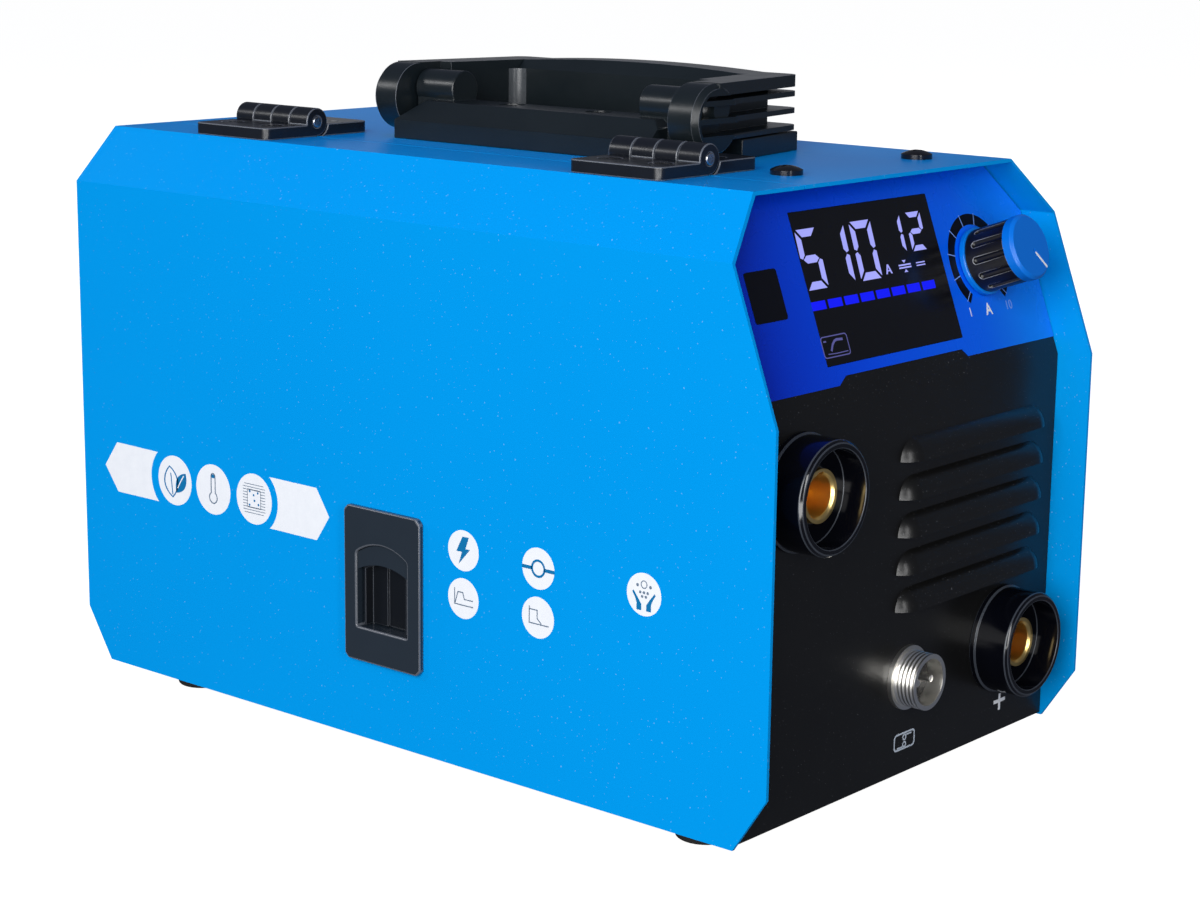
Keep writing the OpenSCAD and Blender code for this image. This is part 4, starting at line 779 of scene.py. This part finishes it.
def round_roomy_edges(piece, width):
    """rounds the sharp edges that have room for it, and gives them the piece's second finish"""
    pick(piece)
    bpy.ops.object.mode_set(mode="EDIT")
    bpy.ops.mesh.select_mode(type="EDGE")
    bpy.ops.mesh.select_all(action="DESELECT")
    bpy.ops.mesh.edges_select_sharp(sharpness=radians(32))
    bpy.ops.object.mode_set(mode="OBJECT")
    crowded = set()
    for edge in piece.data.edges:
        a, b = (piece.data.vertices[i].co for i in edge.vertices)
        if (a - b).length < 2.2 * width * mm:
            crowded.update(edge.vertices)
    weights = piece.data.attributes.new("bevel_weight_edge", "FLOAT", "EDGE")
    for edge in piece.data.edges:
        if edge.select and not crowded.intersection(edge.vertices):
            weights.data[edge.index].value = 1.0
    edges = piece.modifiers.new("edges", "BEVEL")
    edges.width = width * mm
    edges.segments = 2
    edges.limit_method = "WEIGHT"
    edges.material = 1
    smooth(piece)


base = merged("handle_base", "handle_base_made")
finish_with(base, nylon, nylon)
round_roomy_edges(base, 0.35)
# A paler nylon finish for the bow's inner corner fillets: a painted highlight down each corner.
corner_highlight = moulded(
    "corner_highlight_nylon", rgba(0.030, 0.035, 0.040), rgba(0.115, 0.125, 0.135),
    rough=0.22, grain=0.6, depth=0.01, gloss=0.6,
)
bow = merged("carry_handle", "carry_handle_made")
finish_with(bow, nylon, painted_edge_highlight, corner_highlight)
middle_y, cheek, cheek_up = -4.4, -16.5, 222.15
cheek_inside, cheek_radius = 62.6, 12


def on_cheek(*ends):
    return all(
        abs(abs(end.y - middle_y) - cheek_inside) < 0.05 and end.x < cheek + 0.9
        and abs(sqrt((end.x - cheek) ** 2 + (end.z - cheek_up) ** 2) - cheek_radius) < 0.1
        for end in ends
    )


# The cheek's inner rim gets a wide bevel in the pale finish: a painted highlight band.
round_chosen(bow, on_cheek, 2.6, finish=1)


def block(low, high):
    """a box from one corner to the other, ready to cut or to be joined"""
    bpy.ops.object.select_all(action="DESELECT")
    low, high = Vector(low) * mm, Vector(high) * mm
    bpy.ops.mesh.primitive_cube_add(size=1, location=(low + high) / 2)
    made = bpy.context.object
    made.scale = high - low
    bpy.ops.object.transform_apply(location=True, rotation=True, scale=True)
    return made


def bar_along_y(radius, x, z, low, high):
    """a round bar that lies along the machine, ready to cut or to be joined"""
    bpy.ops.object.select_all(action="DESELECT")
    bpy.ops.mesh.primitive_cylinder_add(
        vertices=96, radius=radius * mm, depth=(high - low) * mm,
        location=(x * mm, (low + high) / 2 * mm, z * mm), rotation=(pi / 2, 0, 0),
    )
    bpy.ops.object.transform_apply(location=True, rotation=True, scale=True)
    return bpy.context.object


gaps, gap_radius, gap_end = ((217.1, 221.1), (222.9, 226.9), (228.7, 230.2)), 9.3, 2
gap_foot, past_cheek = 66.0, 76.0
pin_x, pin_z, boss_radius, boss_foot, boss_top = -13.0, 225.5, 4.2, 60.0, 73.1
bow_low, bow_height = 215.35, 15.75
for way in (-1, 1):
    ends = sorted((middle_y + way * gap_foot, middle_y + way * past_cheek))
    for low, high in gaps:
        hollow = bar_along_y(gap_radius, cheek, cheek_up, *ends)
        cut_by(hollow, block((cheek, ends[0], low), (gap_end, ends[1], high)), "UNION")
        cut_by(hollow, block((-40, ends[0] - 1, low), (40, ends[1] + 1, high)), "INTERSECT")
        if low < pin_z < high:
            boss = sorted((middle_y + way * boss_foot, middle_y + way * boss_top))
            cut_by(hollow, bar_along_y(boss_radius, pin_x, pin_z, *boss))
        cut_by(bow, hollow)
    corner = arc(20, 52.29, 5, 0, 80.3, 10) + [(21.2, 58.2), (28, 57.0), (28, 52.29)]
    outline = bpy.data.meshes.new("corner")
    ring = [(x, middle_y + way * (y + middle_y), bow_low) for x, y in corner]
    outline.from_pydata([Vector(point) * mm for point in ring], [], [range(len(ring))])
    fillet = added("corner", outline)
    finish_with(fillet, nylon, painted_edge_highlight, corner_highlight)
    open_up(fillet)
    bpy.ops.mesh.extrude_region_move(TRANSFORM_OT_translate={"value": (0, 0, bow_height * mm)})
    bpy.ops.mesh.select_all(action="SELECT")
    bpy.ops.mesh.normals_make_consistent(inside=False)
    bpy.ops.object.mode_set(mode="OBJECT")
    # The fillet takes the third finish: painted highlight.
    for face in fillet.data.polygons:
        face.material_index = 2
    cut_by(bow, fillet, "UNION")
# The bow's rounded edges take the pale second finish: painted highlight.
round_roomy_edges(bow, 0.32)
rounded("handle_pins", 0.3, bright_steel)
rounded("handle_screws", 0.2, black_screw)


# ---- Display --------------------------------------------------------------------------
# A dark window lies on the film. Behind it light seven-part digits, a bar of eight blue
# cells and one dim sign, all of them lit from a liquid-crystal panel.
glass = Finish("display_glass", Specular_IOR_Level=0.40)
glass.set(
    Base_Color=glass.mixed(
        glass.noise(30), rgba(0.0030, 0.0030, 0.0042), rgba(0.0050, 0.0050, 0.0068)
    ),
    Roughness=0.16 + glass.noise(12) * 0.08,
    Normal=glass.bumps(glass.noise(20), 0.004),
)
rounded("display_window", 0.12, glass)


def on_lean(x, s, h=0.0):
    """a place on the leaning face, s along its slope from the fold and h above the steel"""
    foot = Vector((x, -149.276, 136.865))
    up, out = Vector((0, 0.34682, 0.93793)), Vector((0, -0.93793, 0.34682))
    return facing(foot + up * s + out * h, (1, 0, 0), up)


def lit(name, colour, strength):
    """a lit part of the display, a little uneven like its backlight"""
    glow = Finish(name, Specular_IOR_Level=0.1, Emission_Strength=strength)
    r, g, b, _ = colour
    glow.set(
        Base_Color=rgba(0.01, 0.01, 0.02),
        Emission_Color=glow.mixed(glow.noise(7, 3), rgba(r * 0.86, g * 0.86, b * 0.94), colour),
        Roughness=0.3 + glow.noise(9) * 0.1,
    )
    return glow


pale_light = lit("digit_light", rgba(0.40, 0.42, 1.0), 1.0)
blue_light = lit("bar_light", rgba(0.001, 0.006, 0.95), 1.0)
dim_light = lit("dim_light", rgba(0.10, 0.10, 0.30), 1.0)


def digit(segments, x, s, w, h, t, gap):
    """the lit segments of one seven-part digit: top, right pair, foot, left pair, middle"""
    half = h / 2
    top = [(gap, h), (w - gap, h), (w - gap - t, h - t), (gap + t, h - t)]
    right = [(w, h - gap), (w, half + gap), (w - t / 2, half + gap / 3),
             (w - t, half + t / 2 + gap / 3), (w - t, h - t - gap)]
    middle = [(gap + t / 3, half), (gap + t, half + t / 2), (w - gap - t, half + t / 2),
              (w - gap - t / 3, half), (w - gap - t, half - t / 2), (gap + t, half - t / 2)]
    shapes = {
        "a": top,
        "b": right,
        "c": [(px, h - py) for px, py in reversed(right)],
        "d": [(px, h - py) for px, py in reversed(top)],
        "e": [(w - px, h - py) for px, py in right],
        "f": [(w - px, py) for px, py in reversed(right)],
        "g": middle,
    }
    return [[(x + px + 0.05 * py, s + py) for px, py in shapes[part]] for part in segments]


face = on_lean(0, 0, 0.41)
number = (
    digit("afgcd", -42.6, 40.2, 11.2, 19.4, 2.5, 0.75)
    + digit("bc", -28.2, 40.2, 11.6, 19.4, 2.5, 0.75)
    + digit("abcdef", -13.4, 40.2, 11.8, 19.4, 2.5, 0.75)
    + digit("bc", 6.8, 46.9, 8.8, 13.0, 1.8, 0.6)
    + digit("abged", 18.9, 46.9, 8.8, 13.0, 1.8, 0.6)
)
amp = [(0.9, 41.0), (2.3, 44.1), (3.1, 44.1), (4.5, 41.0), (3.7, 41.0), (2.7, 43.4), (1.7, 41.0)]
unit = [slab(8.8, 41.9, 15.8, 42.4), slab(8.8, 42.8, 15.8, 43.3),
        slab(18.9, 41.9, 24.0, 42.3), slab(18.9, 42.8, 24.0, 43.2)]
arrows = [[(11.2, 44.6), (13.4, 44.6), (12.3, 43.7)], [(11.2, 40.6), (13.4, 40.6), (12.3, 41.5)]]
inked("display_digits", face, "casing", pale_light, number)
inked("display_units", face, "casing", pale_light,
      [amp], [slab(1.9, 41.8, 3.5, 42.2)], unit, arrows)
bars = [slab(-42.7 + 8.83 * i, 33.7, -35.3 + 8.83 * i, 36.5) for i in range(8)]
inked("display_bar", face, "casing", blue_light, bars)
inked(
    "display_sign", face, "casing", dim_light,
    [slab(-42.9, 18.3, -28.8, 25.3, 1.2), slab(-42.55, 18.65, -29.15, 24.95, 0.95)],
    [line([(-38.6, 20.4), (-37.2, 22.4), (-35.8, 23.4), (-34.6, 23.7), (-31.4, 23.5)], 0.8)],
    [line([(-40.6, 19.6), (-36.0, 19.4), (-30.0, 19.5)], 0.3)],
    [slab(-41.6, 23.4, -40.2, 23.9)],
)


# ---- Current knob ---------------------------------------------------------------------
# The knob is turned from black phenolic with twelve milled grips, over an azure skirt. A
# blue cap with a white pointer closes it, and the film carries its scale of ten marks.
knob_place = on_lean(55.3, 39.5)
knob_metres = knob_place @ Matrix.Scale(1000, 4)
knob_black = moulded(
    "knob_black", rgba(0.0022, 0.0022, 0.0026), rgba(0.0045, 0.0045, 0.0052),
    rough=0.30, grain=1.2, depth=0.006, gloss=0.4,
)
cap_blue = moulded(
    "blue_cap", rgba(0.0, 0.155, 0.66), rgba(0.0, 0.175, 0.72),
    rough=0.28, grain=2, depth=0.006, gloss=0.35,
)
skirt_blue = moulded(
    "skirt_blue", rgba(0.0, 0.17, 0.70), rgba(0.0, 0.21, 0.78),
    rough=0.12, grain=2, depth=0.006, gloss=0.6,
)


def turned(vertices, radius, low, high):
    """a round bar standing on the face, from low to high"""
    bpy.ops.object.select_all(action="DESELECT")
    bpy.ops.mesh.primitive_cylinder_add(
        vertices=vertices, radius=radius * mm, depth=(high - low) * mm,
        location=(0, 0, (low + high) / 2 * mm),
    )
    bar = bpy.context.object
    bpy.ops.object.transform_apply(location=True, rotation=False, scale=False)
    return bar


knob = turned(120, radius=10.9, low=2.4, high=18)
shaft_radius = 3.1
grip_radius, grip_out, grip_foot, grip_length = 1.2, 11.15, 6.6, 12.5
bpy.ops.object.select_all(action="DESELECT")
bpy.ops.mesh.primitive_uv_sphere_add(
    segments=20, ring_count=10, radius=grip_radius * mm, location=(grip_out * mm, 0, grip_foot * mm)
)
grips = bpy.context.object
bpy.ops.object.transform_apply(location=True, rotation=False, scale=False)
for point in grips.data.vertices:
    if point.co.z > (grip_foot + 0.01) * mm:
        point.co.z += grip_length * mm
copies = [grips]
for i in range(1, 12):
    copy = added("grip", grips.data.copy())
    copy.data.transform(Matrix.Rotation(radians(30 * i), 4, "Z"))
    copies.append(copy)
pick(*copies)
bpy.ops.object.join()
cut_by(knob, bpy.context.object)
cut_by(knob, turned(48, radius=shaft_radius, low=1, high=16))
finish_with(knob, knob_black)
knob.name = "knob_barrel"
# A pale finish for the grips' rounded rims: painted highlight along each groove.
groove_highlight = moulded(
    "groove_highlight_black", rgba(0.11, 0.12, 0.13), rgba(0.34, 0.35, 0.37),
    rough=0.22, grain=0.6, depth=0.01, gloss=0.8,
)
round_edges(knob, 0.22, steps=2, sharp=30, highlight_finish=groove_highlight, clamp=False)
skirt = turned(120, radius=11.7, low=0.9, high=2.8)
cut_by(skirt, turned(48, radius=6.0, low=0, high=2.2))
cut_by(skirt, turned(48, radius=shaft_radius, low=0, high=5))
skirt.name = "knob_skirt"
finish_with(skirt, skirt_blue)
round_edges(skirt, 0.6, steps=4, sharp=50)
for piece, slot in ((knob, "black_plastic"), (skirt, "blue_cap")):
    piece.data.transform(knob_metres)
    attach(piece, "knob")
    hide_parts("knob_body")
rounded("knob_cap", 0.5, cap_blue, steps=4)
rounded("knob_shaft", 0.3, bright_steel)
pointer = [(3.0, -0.42), (10.3, -0.42), (10.3, 0.42), (3.0, 0.42)]
cap_face = knob_place @ Matrix.Translation((0, 0, 21.8)) @ Matrix.Rotation(radians(-50), 4, "Z")
inked("knob_pointer", cap_face, "knob", white_ink, [pointer], thick=0.3)

black_ink = ink("black_ink", rgba(0.0020, 0.0022, 0.0040), rgba(0.0040, 0.0042, 0.0070), 0.3)
tick_ink = ink("tick_ink", rgba(0.14, 0.30, 0.80), rgba(0.22, 0.40, 0.90))
scale_face = knob_place @ Matrix.Translation((0, 0, 0.31))
ticks_face = knob_place @ Matrix.Translation((0, 0, 0.34))
band_inside, band_outside, tick_end = 13.2, 17.0, 17.4
band = arc(0, 0, band_outside, 231, -51, 72) + arc(0, 0, band_inside, -51, 231, 72)
inked("scale_band", scale_face, "casing", black_ink, [band])
ticks = []
for i in range(10):
    c, s = cos(radians(225 - 30 * i)), sin(radians(225 - 30 * i))
    ticks.append(line([(band_inside * c, band_inside * s), (tick_end * c, tick_end * s)], 0.35))
inked("scale_ticks", ticks_face, "casing", tick_ink, ticks)


def lettered(name, words, place, body, finish, height, bold=0.0):
    """a printed figure or unit, in millimetres of height, centred on its place"""
    font = bpy.data.curves.new(name, "FONT")
    font.body = words
    font.align_x, font.align_y = "CENTER", "CENTER"
    font.size = height / 0.70
    font.offset = bold
    font.extrude = 0.03
    pick(added(name, font))
    bpy.ops.object.convert(target="MESH")
    return settled(name, place, body, finish)


lettered("scale_low", "1", on_lean(43.1, 23.3, 0.31), "casing", white_ink, 3.1)
lettered("scale_unit", "A", on_lean(54.2, 23.1, 0.31), "casing", white_ink, 3.9, 0.12)
lettered("scale_high", "10", on_lean(67.0, 23.2, 0.31), "casing", tick_ink, 3.1)


# ---- Bare label -----------------------------------------------------------------------
# A square of black vinyl with rounded corners is stuck on the film beside the display.
vinyl = moulded(
    "label_vinyl", rgba(0.0022, 0.0025, 0.0050), rgba(0.0045, 0.0048, 0.0085),
    rough=0.30, grain=3, depth=0.004, gloss=0.2,
)
label_outline = slab(-72.2, 32.8, -55.9, 49.0, 1.1)
label = inked("side_label", on_lean(0, 0, 0.37), "casing", vinyl, [label_outline], thick=0.2)
round_edges(label, 0.05, steps=2)


# ---- Welding sockets ------------------------------------------------------------------
# Each socket is a glossy black shroud moulded round a turned brass bush. The plug turns
# in the bush's bore, and the one on the right is marked as the positive side.
gloss_black = moulded(
    "gloss_black", rgba(0.0010, 0.0013, 0.0028), rgba(0.0026, 0.0030, 0.0055),
    rough=0.07, grain=3, depth=0.006, gloss=0.45,
)
brass = metal(
    "brass", rgba(0.86, 0.56, 0.16), rgba(0.98, 0.74, 0.32),
    rough=0.24, grain=0.35, stretch=(1, 4, 1), depth=0.012,
)
for side in ("torch", "work"):
    # The shroud's rounded edges take a dim paler finish: painted highlight.
    rounded(side + "_socket_shroud", 0.45, gloss_black, steps=3, highlight_finish=dim_edge_highlight)
    rounded(side + "_socket_brass", 0.3, brass, steps=3)
rounded("socket_nuts", 0.4, zinc)
lower_face = facing((0, -148.2, 8), (1, 0, 0), (0, 0, 1))
plus = [(-3.7, -0.65), (-0.65, -0.65), (-0.65, -3.4), (0.65, -3.4), (0.65, -0.65), (3.7, -0.65),
        (3.7, 0.65), (0.65, 0.65), (0.65, 2.6), (-0.65, 2.6), (-0.65, 0.65), (-3.7, 0.65)]
inked("plus_sign", lower_face, "casing", white_ink, shifted((62.0, 11.9), plus))


# ---- Control connector ----------------------------------------------------------------
# A nickel-plated round connector with a threaded collar, a black insulator and two pins
# takes the torch's control lead. A small outline below shows its two contacts.
nickel = metal(
    "nickel", rgba(0.78, 0.76, 0.71), rgba(0.95, 0.93, 0.88), rough=0.26, grain=0.6, depth=0.015
)
insulator_black = moulded(
    "insulator_black", rgba(0.004, 0.004, 0.005), rgba(0.008, 0.008, 0.009), rough=0.34, gloss=0.3
)
rounded("connector_shell", 0.08, nickel)
rounded("connector_insulator", 0.3, insulator_black)
rounded("connector_pins", 0.3, nickel)
rounded("connector_nut", 0.3, zinc)
grey_ink = ink("grey_ink", rgba(0.42, 0.48, 0.56), rgba(0.58, 0.64, 0.72))
inked(
    "contact_sign", lower_face, "casing", grey_ink,
    shifted((2.5, 12.1), slab(-6.2, -3.0, 6.2, 3.0, 1.6), slab(-5.6, -2.4, 5.6, 2.4, 1.1)),
    shifted((2.5, 12.1), disc(0, 1.15, 1.15, 20), disc(0, 1.15, 0.6, 20)),
    shifted((2.5, 12.1), disc(0, -1.35, 1.15, 20), disc(0, -1.35, 0.6, 20)),
    shifted((2.5, 12.1), slab(1.0, 1.6, 4.2, 2.1)),
    shifted((2.5, 12.1), slab(-4.2, -2.3, -1.0, -1.8)),
)


# ---- Wire feeder ----------------------------------------------------------------------
# A die-cast plate carries a geared motor, the driven roller and a sprung pressure arm.
# A red knob sets how hard the upper roller presses the wire on the lower one.
cast_alloy = metal(
    "cast_alloy", rgba(0.42, 0.43, 0.45), rgba(0.56, 0.57, 0.59), rough=0.42, grain=1.2, depth=0.03
)
roller_steel = metal("roller_steel", rgba(0.45, 0.46, 0.48), rgba(0.60, 0.61, 0.63), rough=0.18)
motor_steel = metal("motor_steel", rgba(0.10, 0.10, 0.11), rgba(0.15, 0.15, 0.16), rough=0.32)
red_plastic = moulded(
    "red_plastic", rgba(0.34, 0.010, 0.008), rgba(0.42, 0.016, 0.012), rough=0.30, gloss=0.3
)
black_plastic = moulded(
    "inner_black", rgba(0.0085, 0.0088, 0.0095), rgba(0.014, 0.0144, 0.0155), rough=0.36, gloss=0.3
)
rounded("feeder_plate", 0.5, cast_alloy)
rounded("gear_motor", 0.6, motor_steel)
rounded("drive_roller", 0.3, roller_steel)
rounded("pressure_arm", 0.6, black_plastic)
rounded("pressure_roller", 0.3, roller_steel)
rounded("tension_knob", 0.4, red_plastic)


# ---- Wire spool -----------------------------------------------------------------------
# A pale moulded spool turns on a black hub with a nut. The copper-coated wire lies on it
# in even turns, each a little groove beside the next.
spool_plastic = moulded(
    "spool_plastic", rgba(0.62, 0.62, 0.59), rgba(0.72, 0.72, 0.69), rough=0.38, gloss=0.3
)
copper_wire = metal("copper_wire", rgba(0.58, 0.27, 0.13), rgba(0.80, 0.42, 0.22), rough=0.22)
rounded("spool_hub", 0.4, black_plastic)
rounded("wire_spool", 0.5, spool_plastic)
low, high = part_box("wire_winding")
outer, inner = (high.z - low.z) / 2, 26 * mm
turns = 36
slack = 0.05 * mm
step = (high.x - low.x - 2 * slack) / turns
profile = bpy.data.meshes.new("wire_winding_made")
crests = [(low.x + slack, inner)]
for i in range(turns):
    for part in range(4):
        height = outer - step * 0.5 * (1 - sin(pi * part / 4))
        crests.append((low.x + slack + step * (i + part / 4), height))
crests += [(high.x - slack, outer - step * 0.5), (high.x - slack, inner)]
middle = (low + high) / 2
profile.from_pydata([(x, middle.y, middle.z + r) for x, r in crests],
                    [(i, (i + 1) % len(crests)) for i in range(len(crests))], [])
winding = added("wire_winding_made", profile)
open_up(winding)
bpy.ops.mesh.spin(steps=96, angle=2 * pi, center=middle, axis=(1, 0, 0))
sealed(winding, 0.002 * mm)
finish_with(winding, copper_wire)
smooth(winding, 60)
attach(winding, "spool")
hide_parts("wire_winding")
rounded("hub_nut", 0.4, black_plastic)


# ---- Electronics ----------------------------------------------------------------------
# Behind the divider stand the power board with its finned heat sinks, the ferrite
# transformer and the capacitors in blue sleeves, and the display board behind the front.
board_green = moulded(
    "circuit_board", rgba(0.004, 0.09, 0.03), rgba(0.008, 0.13, 0.045), rough=0.32, gloss=0.3
)
ferrite = moulded(
    "ferrite", rgba(0.030, 0.030, 0.032), rgba(0.048, 0.048, 0.050), rough=0.62, gloss=0.3
)
sleeve = moulded(
    "capacitor_sleeve", rgba(0.012, 0.018, 0.10), rgba(0.018, 0.026, 0.13), rough=0.24, gloss=0.4
)
rounded("heat_sink", 0.2, cast_alloy)
rounded("power_board", 0.1, board_green)
rounded("transformer", 0.6, ferrite)
rounded("capacitors", 0.7, sleeve, steps=3)
rounded("display_board", 0.1, board_green)


# ---- Fan ------------------------------------------------------------------------------
# A moulded axial fan blows out through the slots of the rear wall.
rounded("fan_frame", 0.4, black_plastic)
rounded("fan_rotor", 0.25, black_plastic)


# ---- Rear fittings --------------------------------------------------------------------
# The mains switch rocks in a black housing, the mains cable enters through a gland with a
# ribbed nut, and the shielding gas through a brass nipple.
rounded("switch_housing", 0.4, black_plastic, steps=3)
rounded("switch_rocker", 0.4, red_plastic, steps=3)
rounded("cable_gland", 0.4, black_plastic)
rounded("gas_inlet", 0.3, brass)


# ---- Studio ---------------------------------------------------------------------------
# A plain pale floor that turns up into a wall far off, under a cool dim sky, with a large
# soft lamp at the left and weaker ones around.
pick(camera)
floor_reach, wall_height = 12, 9
bpy.ops.mesh.primitive_circle_add(vertices=96, radius=floor_reach, fill_type="NGON")
floor = bpy.context.object
floor.name = "studio_floor"
bpy.ops.object.mode_set(mode="EDIT")
bpy.ops.mesh.select_all(action="SELECT")
bpy.ops.mesh.region_to_loop()
bpy.ops.mesh.extrude_edges_move(TRANSFORM_OT_translate={"value": (0, 0, wall_height)})
bpy.ops.object.mode_set(mode="OBJECT")
pale = Finish(
    "studio_floor", Specular_IOR_Level=0.0,
    Emission_Strength=0.96, Emission_Color=rgba(1.0, 1.0, 1.0),
)
pale.set(Base_Color=rgba(0.32, 0.31, 0.27), Roughness=0.9)
pale.material.cycles.emission_sampling = "NONE"
floor.visible_glossy = False
floor.visible_diffuse = False
finish_with(floor, pale)

world = bpy.data.worlds.new("studio")
bpy.context.scene.world = world
world.use_nodes = True
world.node_tree.nodes["Background"].inputs[0].default_value = (0.085, 0.095, 0.125, 1.0)


def softbox(name, place, aim, width, height, power, tint=(1, 1, 1), in_gloss=True, on_matt=True):
    """a soft lamp that the camera doesn't see"""
    lamp = bpy.data.lights.new(name, "AREA")
    lamp.shape = "RECTANGLE"
    lamp.size, lamp.size_y, lamp.energy, lamp.color = width, height, power, tint
    holder = added(name, lamp)
    holder.location = place
    holder.rotation_euler = (Vector(aim) - Vector(place)).to_track_quat("-Z", "Y").to_euler()
    holder.visible_camera = False
    holder.visible_glossy = in_gloss
    holder.visible_diffuse = on_matt


centre = (0, 0, 0.12)
softbox("left_softbox", (-1.95, -0.75, 0.75), centre, 1.5, 1.4, 48)
softbox("front_lamp", (-0.75, -1.75, 0.60), centre, 0.25, 1.1, 10)
softbox("floor_card", (-0.75, -0.85, 0.012), (-0.75, -0.85, 1), 1.1, 1.1, 38, on_matt=False)
softbox("left_rear_lamp", (-1.35, 1.45, 1.15), centre, 0.3, 0.3, 5)
softbox("right_rear_lamp", (1.6, 1.35, 0.55), centre, 0.8, 0.5, 0.35)
softbox("sky_softbox", (0, 0.3, 3), centre, 2.5, 2.5, 12, (0.06, 0.14, 1.0), in_gloss=False)
softbox("rear_softbox", (-0.1, 2.3, 0.9), centre, 1.2, 0.9, 22, in_gloss=False)
softbox("right_softbox", (2.3, 0.2, 0.8), centre, 1.2, 0.9, 14, in_gloss=False)
